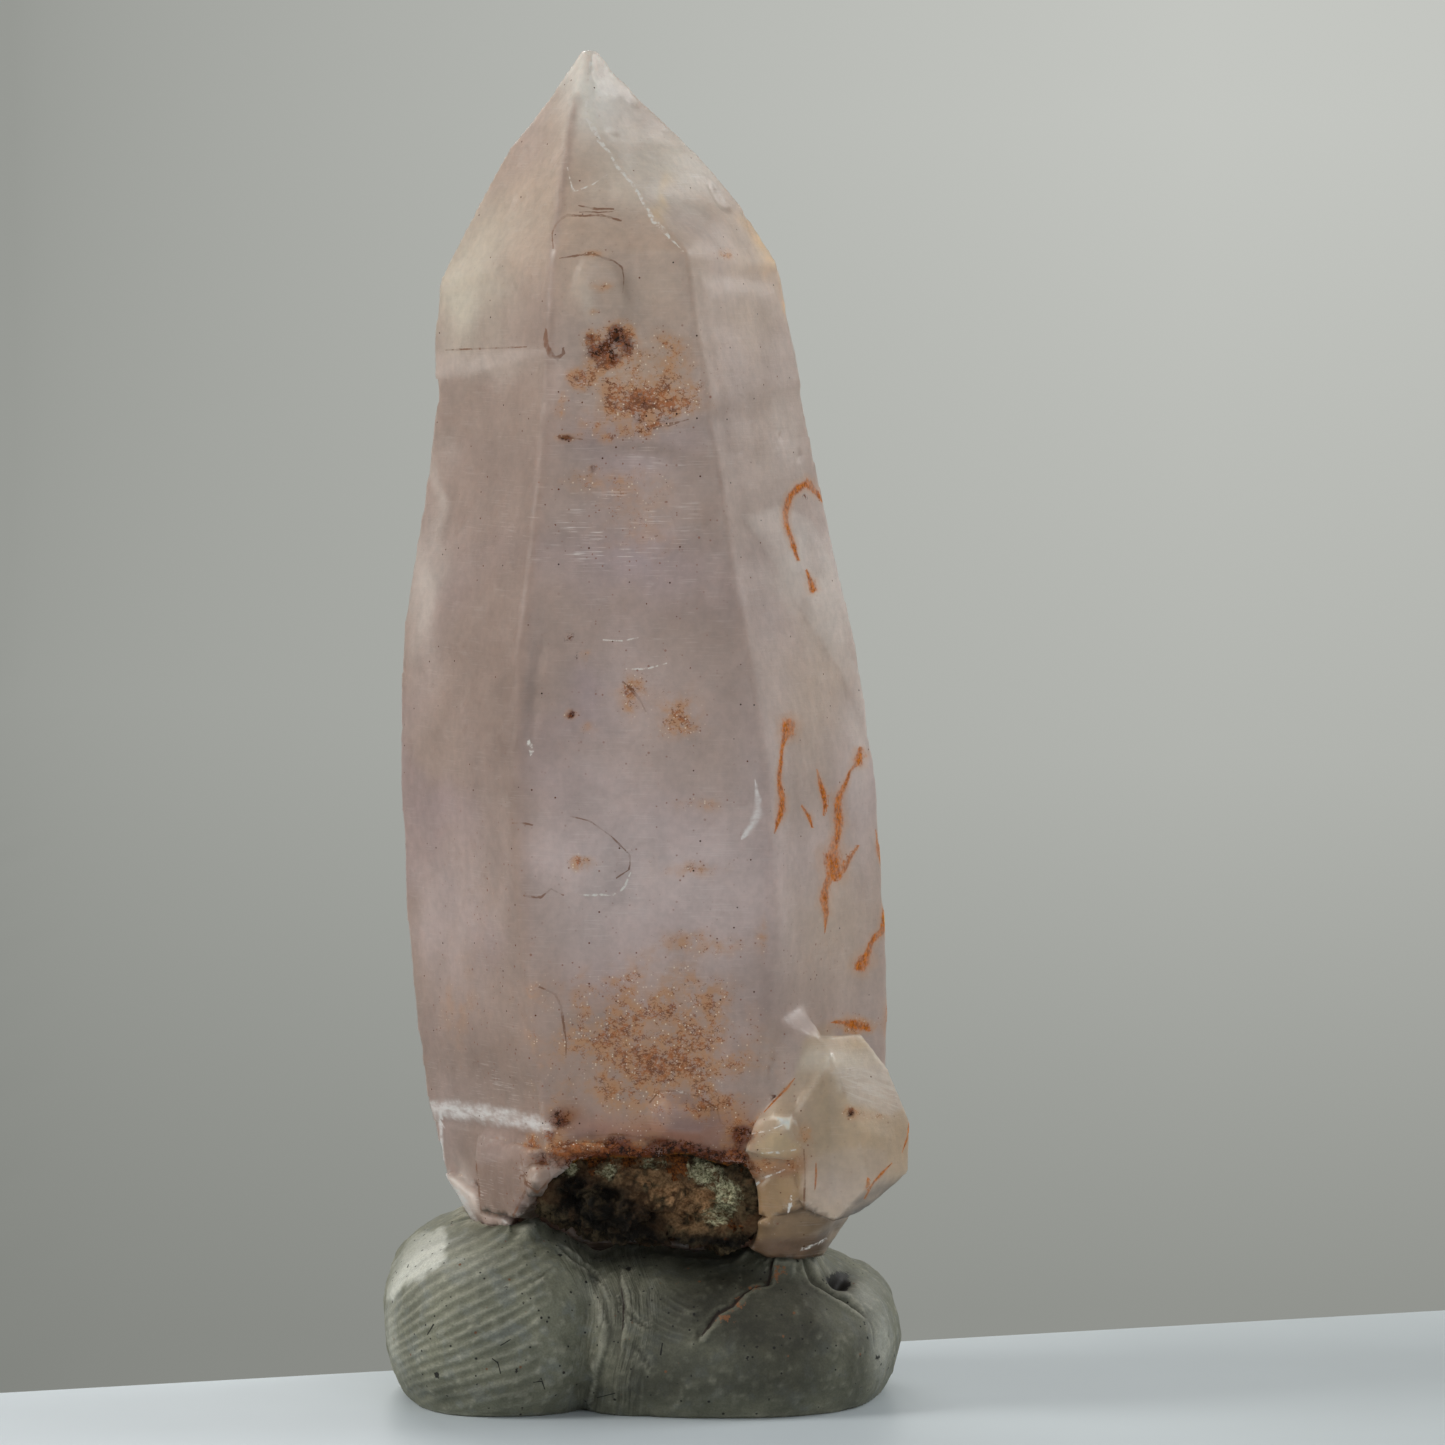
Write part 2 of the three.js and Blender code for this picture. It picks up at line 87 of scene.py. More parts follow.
def lattice_value(cell, axis):
    """A number between -1 and 1 that belongs to a lattice cell and an axis."""
    mixed = np.full(len(cell), axis + 1, np.uint32) * HASH_MIX
    for k in range(3):
        mixed ^= cell[:, k].astype(np.uint32) * HASH_FACTORS[k]
        mixed ^= mixed >> np.uint32(13)
        mixed *= HASH_MIX
    mixed ^= mixed >> np.uint32(16)
    return mixed.astype(np.float64) / 2**31 - 1


def noise(points, pitch, seed=0):
    """Smooth noise between about -1 and 1. A pitch is one length, or one for each axis."""
    place = points / pitch + NOISE_STEP * (seed + 1)
    base = np.floor(place).astype(np.int64)
    part = place - base
    ease = part**3 * (part * (part * 6 - 15) + 10)
    total = np.zeros(len(points))
    for corner in product((0, 1), repeat=3):
        weight = np.prod(np.where(corner, ease, 1 - ease), axis=1)
        cell = base + np.array(corner)
        slope = sum(lattice_value(cell, k) * (part[:, k] - corner[k]) for k in range(3))
        total += weight * slope
    return total * NOISE_GAIN


def fractal(points, pitch, seed=0, octaves=4, gain=0.5):
    """Noise with finer and finer detail."""
    pitch = np.asarray(pitch, float)
    return sum(gain**k * noise(points, pitch / 2**k, seed + k) for k in range(octaves))


def smoothstep(low, high, values):
    share = np.clip((values - low) / (high - low), 0, 1)
    return share * share * (3 - 2 * share)


class Skin:
    """The points of a piece's mesh as arrays, and what is worked out from them."""

    def __init__(self, piece):
        self.piece = piece
        mesh = piece.data
        edges = np.zeros(len(mesh.edges) * 2, np.int64)
        mesh.edges.foreach_get("vertices", edges)
        self.edges = edges.reshape(-1, 2)
        self.count = len(mesh.vertices)
        self.degree = np.maximum(np.bincount(self.edges.ravel(), minlength=self.count), 1)
        self.read()

    def read(self):
        mesh = self.piece.data
        self.points = np.zeros(self.count * 3)
        mesh.vertices.foreach_get("co", self.points)
        self.points = self.points.reshape(-1, 3)
        self.normals = np.zeros(self.count * 3)
        mesh.vertices.foreach_get("normal", self.normals)
        self.normals = self.normals.reshape(-1, 3)
        self.pixels = pixels_of(self.points)
        self.facing = -(self.normals @ FORWARD)

    def place(self, points):
        mesh = self.piece.data
        mesh.vertices.foreach_set("co", np.ascontiguousarray(points, np.float64).ravel())
        mesh.update()
        self.read()

    def raise_by(self, heights):
        self.place(self.points + self.normals * heights[:, None])

    def around(self, values):
        """The mean of the neighbours' values."""
        columns = values.reshape(self.count, -1)
        out = np.empty_like(columns, dtype=float)
        a, b = self.edges.T
        for k in range(columns.shape[1]):
            out[:, k] = np.bincount(a, columns[b, k], self.count) + np.bincount(b, columns[a, k], self.count)
        return (out / self.degree[:, None]).reshape(values.shape)

    def smooth(self, times, share=0.5, where=None):
        """Evens the mesh out, at all its points or only as far as where says."""
        points = self.points
        weight = share if where is None else share * where[:, None]
        for _ in range(times):
            points = points + weight * (self.around(points) - points)
        self.place(points)

    def crest(self):
        """How far each point stands out of its surroundings, below 0 in a hollow, as a share of a cell."""
        step = np.linalg.norm(self.points[self.edges[:, 0]] - self.points[self.edges[:, 1]], axis=1).mean()
        return -np.einsum("ij,ij->i", self.around(self.points) - self.points, self.normals) / step

    def tree(self):
        mesh = self.piece.data
        return BVHTree.FromPolygons([v.co for v in mesh.vertices], [p.vertices for p in mesh.polygons])

    def spread(self, values, times):
        for _ in range(times):
            values = 0.5 * values + 0.5 * self.around(values)
        return values

    def keep(self, name, values):
        """Stores a number, or three, for each point, where a material finds them."""
        kind = "FLOAT" if values.ndim == 1 else "FLOAT_VECTOR"
        layer = self.piece.data.attributes.new(name, kind, "POINT")
        layer.data.foreach_set("value" if values.ndim == 1 else "vector", values.astype(np.float32).ravel())

    def keep_colour(self, name, colours):
        layer = self.piece.data.attributes.new(name, "FLOAT_COLOR", "POINT")
        layer.data.foreach_set("color", np.c_[colours, np.ones(self.count)].astype(np.float32).ravel())


STROKE_REACH = 1.2  # how far from a stroke its distances are kept, in millimetres
STROKE_SLACK = 0.1  # how far past its ends a stroke still shows
NO_STROKE = (9.0, 9.0, 0.05)  # what is kept for a place that is near none


def stroke_field(places, strokes, shown, unit=PIXEL / MM, beyond=STROKE_REACH):
    """For each 2-D place: how far to the side of the nearest stroke it is, how far from it in all, and the
    stroke's half width there, in millimetres. The side has a sign, so it stays exact between points."""
    field = np.tile(NO_STROKE, (len(places), 1))
    share = np.full(len(places), np.inf)
    for stroke in strokes:
        for a, b in zip(stroke, stroke[1:]):
            along = np.subtract(b[:2], a[:2])
            away = places - np.array(a[:2])
            t = np.clip(away @ along / (along @ along), 0, 1)
            reach = np.hypot(*(away - t[:, None] * along).T)
            half = (a[2] + t * (b[2] - a[2])) / 2
            side = away @ np.array([along[1], -along[0]]) / np.hypot(*along)
            closer = shown & (reach / half < share) & (reach * unit < beyond)
            share[closer] = (reach / half)[closer]
            field[closer] = np.c_[side, reach, half][closer] * unit
    return field


def spots(places, blobs):
    """The sum of soft spots over 2-D places. A blob is (centre, half sizes, strength)."""
    total = np.zeros(len(places))
    for centre, half, strength in blobs:
        total += strength * np.exp(-(((places - np.array(centre)) / np.array(half)) ** 2).sum(axis=1))
    return total


def inside(places, corners, soft):
    """1 inside a polygon and 0 outside it, with an edge 2 * soft wide."""
    x, y = places.T
    odd = np.zeros(len(places), bool)
    reach = np.full(len(places), np.inf)
    for (ax, ay), (bx, by) in zip(corners, corners[1:] + corners[:1]):
        crosses = (ay > y) != (by > y)
        odd ^= crosses & (x < ax + (y - ay) / (by - ay if by != ay else 1) * (bx - ax))
        t = np.clip(((x - ax) * (bx - ax) + (y - ay) * (by - ay)) / ((bx - ax) ** 2 + (by - ay) ** 2), 0, 1)
        reach = np.minimum(reach, np.hypot(x - ax - t * (bx - ax), y - ay - t * (by - ay)))
    return smoothstep(-soft, soft, np.where(odd, reach, -reach))


# Meshes and materials


def colour(r, g, b):
    """A colour given as 0..255 on a screen, as the light values that shaders use."""
    return tuple(((c / 255 + 0.055) / 1.055) ** 2.4 if c > 10 else c / 255 / 12.92 for c in (r, g, b))


def new_piece(name, mesh):
    piece = bpy.data.objects.new(name, mesh)
    bpy.context.scene.collection.objects.link(piece)
    return piece


def hull_piece(form):
    """A small crystal or ledge, as the hull of its corners (u, v, depth in millimetres)."""
    shape = bmesh.new()
    for u, v, depth in form:
        direction = ray(u, v)
        shape.verts.new(Vector(EYE) + direction * ((depth * MM - EYE[1]) / direction.y))
    bmesh.ops.convex_hull(shape, input=shape.verts)
    bmesh.ops.delete(shape, geom=[v for v in shape.verts if not v.link_faces], context="VERTS")
    bmesh.ops.recalc_face_normals(shape, faces=shape.faces)
    mesh = bpy.data.meshes.new("form")
    shape.to_mesh(mesh)
    shape.free()
    return new_piece("form", mesh)


def remeshed(node, name, forms=(), **settings):
    """A fine even mesh over a node's solid and the small forms joined to it, as a piece of its own."""
    source = new_piece(name + "_source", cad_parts[node].data.copy())
    helpers = [hull_piece(form) for form in forms]
    for helper in helpers:
        join = source.modifiers.new("join", "BOOLEAN")
        join.operation = "UNION"
        join.object = helper
    modifier = source.modifiers.new("remesh", "REMESH")
    for key, value in settings.items():
        setattr(modifier, key, value)
    seen = source.evaluated_get(bpy.context.evaluated_depsgraph_get())
    mesh = bpy.data.meshes.new_from_object(seen)
    for piece in [source, *helpers]:
        bpy.data.objects.remove(piece)
    mesh.materials.clear()
    for polygon in mesh.polygons:
        polygon.use_smooth = True
    return new_piece(name, mesh)


class Shader:
    """A material's nodes, made in short calls that return the socket to go on with."""

    def __init__(self, name):
        self.material = bpy.data.materials.new(name)
        self.material.use_nodes = True
        self.tree = self.material.node_tree
        self.surface = self.tree.nodes["Principled BSDF"]
        self.output = self.tree.nodes["Material Output"]
        self.where = self.add("ShaderNodeTexCoord").outputs["Object"]

    def add(self, kind, inputs=None, **settings):
        node = self.tree.nodes.new(kind)
        for key, value in settings.items():
            setattr(node, key, value)
        for key, value in (inputs or {}).items():
            self.set(node.inputs[key], value)
        return node

    def set(self, socket, value):
        if isinstance(value, bpy.types.NodeSocket):
            self.tree.links.new(value, socket)
        elif isinstance(value, tuple) and len(value) == 3 and socket.type == "RGBA":
            socket.default_value = (*value, 1)
        else:
            socket.default_value = value

    def finish(self, **values):
        for key, value in values.items():
            self.set(self.surface.inputs[key.replace("_", " ")], value)

    def math(self, operation, a, b=0.0, clamp=False):
        return self.add("ShaderNodeMath", {0: a, 1: b}, operation=operation, use_clamp=clamp).outputs[0]

    def product(self, first, *others):
        for other in others:
            first = self.math("MULTIPLY", first, other)
        return first

    def largest(self, first, *others):
        for other in others:
            first = self.math("MAXIMUM", first, other)
        return first

    def stretched(self, pitch, turn=0.0):
        """The place, turned about the y axis, divided by a pitch in millimetres for each axis."""
        where = self.where
        if turn:
            where = self.add("ShaderNodeVectorRotate", {"Vector": where, "Angle": math.radians(turn)},
                             rotation_type="Y_AXIS").outputs[0]
        node = self.add("ShaderNodeVectorMath", {0: where}, operation="MULTIPLY")
        node.inputs[1].default_value = [1 / (p * MM) for p in np.broadcast_to(pitch, 3)]
        return node.outputs[0]

    def noise(self, pitch, detail=3.0, roughness=0.55, distortion=0.0, turn=0.0):
        inputs = {"Vector": self.stretched(pitch, turn), "Scale": 1.0, "Detail": detail,
                  "Roughness": roughness, "Distortion": distortion}
        return self.add("ShaderNodeTexNoise", inputs).outputs["Fac"]

    def uneven(self, pitch, low, high, to_low=0.0, to_high=1.0, detail=3.0, roughness=0.55, **more):
        """Soft patches: noise, whose values from low to high become those from to_low to to_high."""
        return self.step(self.noise(pitch, detail, roughness, **more), low, high, to_low, to_high)

    def shading(self, amount, pitch, detail=3.0, roughness=0.55, **more):
        """A factor that makes a colour lighter and darker in patches, by up to an amount."""
        return self.uneven(pitch, 0.3, 0.7, 1 - amount, 1 + amount, detail, roughness, **more)

    def cells(self, pitch):
        """Scattered cells: how far from the middle of its cell a place is, and the cell's own number."""
        node = self.add("ShaderNodeTexVoronoi", {"Vector": self.stretched(pitch), "Scale": 1.0})
        number = self.add("ShaderNodeSeparateColor", {0: node.outputs["Color"]}).outputs[0]
        return node.outputs["Distance"], number

    def step(self, value, low, high, to_low=0.0, to_high=1.0):
        inputs = {"Value": value, "From Min": low, "From Max": high, "To Min": to_low, "To Max": to_high}
        return self.add("ShaderNodeMapRange", inputs, interpolation_type="SMOOTHSTEP").outputs[0]

    def mix(self, share, a, b, blend="MIX"):
        node = self.add("ShaderNodeMix", data_type="RGBA", blend_type=blend)
        for socket, value in zip((node.inputs[0], node.inputs[6], node.inputs[7]), (share, a, b)):
            self.set(socket, value)
        return node.outputs[2]

    def attribute(self, name, output="Fac"):
        return self.add("ShaderNodeAttribute", attribute_name=name).outputs[output]

    def parts(self, name):
        """The three numbers that a piece keeps for each point under a name."""
        return self.add("ShaderNodeSeparateXYZ", {0: self.attribute(name, "Vector")}).outputs

    def shaded(self, base, *factors):
        """A colour made lighter or darker by numbers around 1."""
        tone = self.product(*factors)
        grey = self.add("ShaderNodeCombineColor", {0: tone, 1: tone, 2: tone}).outputs[0]
        return self.mix(1.0, base, grey, "MULTIPLY")

    def grains(self, density, pitch, size):
        """Separate grains, one in as many cells as the density says."""
        reach, number = self.cells(pitch)
        chosen = self.math("LESS_THAN", number, density)
        return self.math("MULTIPLY", chosen, self.step(reach, size, size * 0.55))

    def flecks(self, density, pitch, rarest=0.72, gain=0.3, soft=0.035):
        """Ragged flecks, which run together where the density is high and are rare where it is 0."""
        level = self.math("SUBTRACT", rarest, self.math("MULTIPLY", density, gain))
        return self.step(self.math("SUBTRACT", self.noise(pitch, 5.0, 0.72), level), 0.0, soft)

    def network(self, density, pitch, widest):
        """Winding lines, which thicken and run together where the density is high."""
        level = self.math("ABSOLUTE", self.math("SUBTRACT", self.noise(pitch, 4.0, 0.65), 0.5))
        share = self.math("DIVIDE", level, self.math("ADD", self.math("MULTIPLY", density, widest), 0.0005))
        return self.step(share, 1.2, 0.6)

    def veins(self, pitch, width):
        """Thin winding lines."""
        level = self.math("SUBTRACT", self.noise(pitch, 4.0, 0.62), 0.5)
        return self.step(self.math("ABSOLUTE", level), width, width * 0.3)

    def stroke_share(self, name, ragged, pitch):
        """How far from the middle of the strokes kept under a name a place is, in half widths."""
        side, away, half = self.parts(name)
        reach = self.math("MAXIMUM", self.math("ABSOLUTE", side), self.math("SUBTRACT", away, STROKE_SLACK))
        share = self.math("DIVIDE", reach, half)
        for scale in (1, 3.5):
            uneven = self.math("SUBTRACT", self.noise(pitch * scale, 2.0, 0.65), 0.5)
            share = self.math("ADD", share, self.math("MULTIPLY", uneven, 1.4 * ragged))
        return share

    def stroke(self, name, ragged, pitch):
        """The mask of the strokes kept under a name, with ragged edges."""
        return self.step(self.stroke_share(name, ragged, pitch), 1.2, 0.7)

    def bump(self, height, strength, distance, under=None):
        inputs = {"Height": height, "Strength": strength, "Distance": distance * MM}
        if under is not None:
            inputs["Normal"] = under
        return self.add("ShaderNodeBump", inputs).outputs[0]


# The crystal

CRYSTAL_DEPTH = 8  # how often the cube that its mesh is cut from is halved
CRYSTAL_SCALE = 0.95  # how much of that cube it fills
FOOT_TOP = 9.4 * MM  # below this height it is broken and rough
HEAD_RIM = 38.0 * MM  # where the head has grown over the shaft

# Strokes of rust, as (u, v, width) in photo pixels
RUST_STROKES = [
    [(821, 499, 3), (814, 490, 7), (808, 484, 8), (799, 487, 8), (790, 497, 7), (786, 509, 7),
     (785, 521, 6), (789, 534, 6), (793, 544, 6), (797, 557, 3)],
    [(807, 572, 2), (810, 580, 5), (812, 586, 8), (813, 592, 2)],
    [(788, 721, 5), (788, 728, 14), (786, 736, 7), (782, 746, 4), (781, 763, 4), (779, 773, 5),
     (779, 785, 5), (782, 796, 7), (782, 808, 8), (779, 819, 6), (775, 832, 1)],
    [(860, 751, 5), (859, 758, 10), (856, 764, 3), (850, 771, 3), (846, 783, 5), (841, 792, 7),
     (838, 801, 9), (838, 813, 10), (839, 823, 10), (837, 835, 8), (834, 848, 10), (833, 860, 18),
     (834, 870, 16), (829, 879, 7), (825, 889, 8), (824, 900, 9), (826, 912, 6), (825, 930, 1)],
    [(858, 846, 2), (850, 858, 4), (845, 868, 6), (839, 877, 4), (834, 880, 2)],
    [(817, 770, 1), (820, 782, 5), (824, 795, 6), (825, 806, 4), (823, 818, 1)],
    [(803, 808, 2), (809, 817, 5), (812, 827, 2)],
    [(884, 902, 3), (884, 920, 6), (882, 931, 7), (875, 937, 6), (870, 945, 5), (868, 953, 7),
     (862, 963, 13), (857, 968, 5)],
    [(889, 992, 2), (890, 1010, 7), (889, 1026, 8), (889, 1044, 3)],
    [(834, 1022, 2), (844, 1023, 5), (853, 1024, 10), (862, 1026, 9), (868, 1030, 3)],
    [(876, 832, 1), (879, 850, 5), (882, 868, 2)], [(816, 1164, 1), (816, 1176, 2), (815, 1188, 1)],
    [(868, 1178, 1), (867, 1186, 4), (868, 1194, 1)],
    [(890, 1165, 1), (882, 1173, 2.8), (873, 1183, 2.2), (866, 1196, 1.6)],
    [(909, 1124, 1), (908, 1136, 2.6), (903, 1150, 1)],
    [(794, 1079, 1), (787, 1088, 3), (780, 1095, 2.2), (766, 1110, 1)],
]
# Thin brown lines, along growth contours and in cracks
BROWN_LINES = [
    [(546, 332, 2.4), (545, 341, 4.4), (548, 350, 4.6), (552, 356, 4.4), (558, 359, 3.6), (563, 354, 3),
     (563, 349, 1.6)],
    [(448, 350, 1), (470, 349, 1.8), (500, 348, 1.6), (546, 346, 1)],
    [(553, 246, 1.4), (552, 233, 2), (557, 223, 2), (566, 215, 2.4), (584, 216, 2), (602, 215, 2.6),
     (619, 220, 2)],
    [(581, 206, 1.6), (596, 209, 2), (611, 209, 1.6)],
    [(561, 258, 1.4), (581, 255, 2.4), (592, 253, 4), (604, 258, 2.4), (614, 261, 1.6), (622, 267, 1.4),
     (624, 278, 1), (623, 290, 1)],
    [(562, 437, 3), (580, 439, 1)], [(655, 428, 2), (672, 424, 3), (686, 420, 1)],
    [(542, 988, 2), (555, 994, 2.6), (561, 1006, 2.6), (563, 1019, 2.4), (566, 1040, 1.6), (566, 1056, 1)],
    [(515, 823, 1.6), (524, 823, 2), (532, 825, 1.4)],
    [(569, 816, 1.2), (590, 821, 1.4), (611, 836, 1.4), (630, 855, 1.6), (630, 869, 1.6), (618, 877, 1.2)],
    [(527, 896, 2), (540, 898, 2.4), (551, 889, 2), (561, 894, 1.6)],
    [(590, 1136, 2), (616, 1134, 2.4), (640, 1137, 2)],
    [(651, 1101, 1.6), (660, 1091, 2), (681, 1091, 2), (701, 1098, 2), (717, 1108, 2), (720, 1121, 2)],
    [(624, 683, 2), (632, 690, 2.6), (640, 700, 2), (646, 712, 1.4)],
    [(519, 1178, 1.6), (530, 1164, 2), (548, 1162, 1.6), (550, 1180, 2), (537, 1193, 2), (519, 1178, 1.6)],
    [(476, 1164, 1.6), (479, 1190, 2), (481, 1210, 1.6)],
    [(521, 1157, 1.6), (526, 1190, 2.4), (514, 1214, 2)],
    [(804, 1152, 1.4), (805, 1176, 2), (804, 1206, 1.6)],
]
# Painted highlights: white glints along worn ridges and small fractures
GLINT_LINES = [
    [(590, 60, 3), (591, 87, 3), (586, 104, 2), (586, 118, 3), (592, 126, 5), (600, 142, 4),
     (609, 152, 3), (618, 168, 3), (635, 187, 3), (643, 202, 3), (652, 219, 5), (661, 228, 5),
     (672, 240, 2), (682, 250, 1)],
    [(568, 170, 1), (573, 192, 1.6), (592, 185, 1.2), (608, 174, 0.8)],
    [(583, 895, 1.6), (600, 895, 2.4), (618, 894, 2.8), (625, 886, 2.4), (630, 874, 1.4)],
    [(529, 742, 3), (530, 747, 6), (531, 752, 3)], [(629, 669, 1.4), (646, 669, 1.8), (664, 664, 1.4)],
    [(606, 640, 1.2), (622, 641, 1.6), (636, 638, 1.2)], [(413, 560, 3), (413, 567, 3)],
    [(401, 662, 3), (400, 668, 3)], [(651, 1100, 1.6), (664, 1092, 2), (683, 1092, 2), (702, 1099, 1.6)],
    [(750, 1134, 1), (768, 1131, 1.6), (780, 1126, 1)], [(764, 1153, 1), (780, 1152, 3), (794, 1150, 1)],
    [(751, 1197, 1.6), (754, 1186, 2), (766, 1177, 2), (782, 1171, 1.6)],
    [(791, 1197, 2), (790, 1204, 4), (788, 1213, 1)], [(803, 1249, 3), (816, 1245, 3), (824, 1240, 2)],
]
# Broad pale veils of healed fractures, and painted light caught inside
VEILS = [
    [(427, 1106, 10), (440, 1109, 17), (475, 1112, 19), (500, 1116, 18), (520, 1120, 16), (536, 1124, 16),
     (550, 1129, 8)],
    [(755, 780, 1), (758, 800, 6), (757, 816, 9), (750, 828, 8), (742, 838, 2)],
    [(448, 1183, 4), (462, 1200, 12), (474, 1222, 8)], [(440, 1112, 4), (442, 1160, 5), (447, 1185, 4)],
]
# Narrow hollows, between the left and the front face and above the foot on the left
GROOVES = [
    [(541, 640, 6), (536, 670, 11), (532, 700, 12), (530, 725, 11), (529, 742, 6)],
    [(427, 1121, 5), (470, 1123, 7), (505, 1129, 7), (530, 1136, 5)],
]

# Where rust grains lie on the front: centre and half sizes in photo pixels, and how dense
RUST_PATCHES = [
    ((590, 338), (9, 8), 0.9), ((604, 342), (12, 9), 0.9), ((617, 332), (10, 10), 1.0),
    ((628, 342), (8, 13), 0.9), ((600, 354), (11, 7), 0.9), ((616, 350), (16, 8), 0.9),
    ((607, 364), (12, 7), 0.8), ((577, 377), (10, 8), 0.7), ((593, 377), (7, 7), 0.6),
    ((588, 389), (12, 4), 0.6), ((612, 386), (14, 12), 0.4), ((563, 398), (4, 5), 0.6),
    ((560, 413), (4, 9), 0.55), ((567, 438), (10, 4), 1.0), ((608, 408), (14, 14), 0.55),
    ((640, 396), (9, 8), 0.6), ((637, 412), (9, 14), 0.8), ((668, 398), (22, 16), 0.6),
    ((666, 410), (10, 6), 0.6), ((664, 364), (9, 9), 0.5), ((668, 344), (14, 10), 0.4),
    ((655, 425), (20, 4), 0.8), ((634, 432), (14, 6), 0.7), ((612, 438), (14, 5), 0.4),
    ((648, 384), (62, 46), 0.56), ((600, 425), (40, 14), 0.25), ((604, 286), (15, 7), 0.5),
    ((594, 253), (14, 4), 0.45), ((593, 312), (6, 4), 0.5), ((727, 254), (9, 6), 0.6),
    ((605, 480), (60, 14), 0.3), ((593, 468), (4, 3), 0.9), ((644, 1040), (90, 50), 0.46),
    ((600, 1024), (34, 22), 0.2), ((690, 1006), (50, 24), 0.2), ((650, 1070), (110, 50), 0.2),
    ((700, 946), (40, 14), 0.5), ((640, 985), (90, 26), 0.3), ((640, 1090), (90, 30), 0.25),
    ((560, 1117), (14, 13), 0.9), ((549, 1136), (9, 9), 0.9), ((533, 1140), (6, 10), 0.6),
    ((596, 1150), (40, 6), 0.6), ((668, 1150), (64, 5), 0.6), ((650, 1136), (16, 10), 0.4),
    ((741, 1134), (17, 18), 0.8), ((706, 1112), (16, 12), 0.6), ((726, 1104), (7, 5), 0.6),
    ((580, 1152), (24, 10), 1.1), ((776, 1162), (28, 10), 0.5), ((804, 1136), (14, 14), 0.6),
    ((851, 1112), (8, 7), 1.2), ((870, 1117), (18, 6), 0.5), ((856, 1026), (22, 8), 1.0),
    ((583, 863), (12, 7), 0.8), ((632, 695), (9, 15), 0.6), ((681, 720), (24, 16), 0.55),
    ((652, 700), (36, 20), 0.3), ((586, 655), (5, 4), 0.5), ((571, 714), (5, 4), 1.0),
    ((592, 728), (9, 6), 0.5), ((700, 804), (24, 8), 0.35), ((700, 870), (30, 8), 0.4),
    ((530, 1010), (12, 60), 0.15), ((455, 1010), (24, 60), 0.2), ((762, 935), (6, 20), 0.4),
    ((640, 840), (110, 150), 0.1), ((640, 620), (90, 120), 0.1), ((480, 900), (46, 130), 0.12),
    ((700, 1060), (80, 40), 0.2), ((640, 520), (70, 40), 0.22), ((820, 940), (30, 60), 0.15),
]
# The same for the brown to black dirt of the densest places
DIRT_PATCHES = [
    ((616, 335), (6, 8), 1.0), ((608, 347), (7, 6), 0.7), ((594, 352), (9, 6), 0.6),
    ((628, 346), (6, 9), 0.5), ((613, 359), (6, 5), 0.7), ((590, 338), (6, 5), 0.35),
    ((577, 378), (5, 5), 0.25), ((641, 393), (4, 3), 0.5), ((646, 402), (3, 3), 0.9),
    ((637, 418), (5, 8), 0.3), ((666, 419), (9, 3), 0.4), ((566, 438), (7, 3), 0.5),
    ((560, 314), (4, 3), 0.4), ((569, 637), (3, 4), 1.0), ((594, 469), (4, 3), 0.6),
    ((805, 497), (3, 3), 0.5), ((576, 656), (3, 3), 0.6), ((571, 714), (4, 4), 0.6),
    ((561, 1118), (11, 10), 0.6), ((549, 1136), (6, 6), 0.35), ((743, 1135), (10, 9), 0.7),
    ((851, 1112), (4, 4), 0.5), ((664, 1154), (86, 4), 0.5),
]
# Where the front is scratched
SCRATCHED = [
    ((610, 530), (70, 20), 1.0), ((600, 556), (50, 12), 0.8), ((620, 500), (60, 14), 0.7),
    ((640, 470), (70, 18), 0.45), ((600, 385), (40, 34), 0.5), ((650, 600), (70, 50), 0.25),
    ((500, 1080), (44, 18), 0.6), ((640, 900), (100, 90), 0.2), ((680, 170), (50, 60), 0.25),
    ((486, 1190), (26, 26), 0.5), ((860, 1070), (40, 26), 0.5), ((775, 1140), (22, 16), 0.5),
]
# The same kinds of marks behind. The places and half sizes are millimetres of x and z, and so are the widths.
BACK_PATCHES = [
    ((-1.5, 36.0), (2.0, 1.6), 0.6), ((1.2, 33.2), (1.6, 1.0), 0.55), ((2.0, 14.0), (2.6, 2.6), 0.5),
    ((-3.0, 11.5), (3.0, 1.6), 0.6), ((4.6, 20.0), (1.0, 3.0), 0.35), ((-5.5, 26.0), (1.2, 4.0), 0.3),
    ((0.0, 22.0), (6.0, 12.0), 0.16), ((3.0, 9.4), (5.0, 0.9), 0.6), ((-0.6, 28.4), (1.8, 0.7), 0.5),
    ((0.6, 16.6), (1.6, 2.2), 0.45), ((-2.6, 31.0), (0.7, 2.0), 0.5), ((5.2, 33.0), (0.9, 2.4), 0.35),
    ((-5.6, 13.6), (1.4, 2.0), 0.5), ((1.4, 39.0), (0.8, 0.7), 0.5),
]
BACK_STROKES = [
    [(4.9, 30.5, 0.26), (5.0, 29.6, 0.3), (4.7, 28.4, 0.18), (4.8, 27.0, 0.18), (4.6, 25.8, 0.05)],
    [(-5.6, 19.0, 0.3), (-5.4, 17.8, 0.22), (-5.7, 16.4, 0.18), (-5.5, 15.0, 0.22), (-5.6, 14.2, 0.05)],
    [(1.6, 37.8, 0.1), (1.0, 37.1, 0.26), (0.6, 36.2, 0.22), (0.9, 35.4, 0.05)],
]
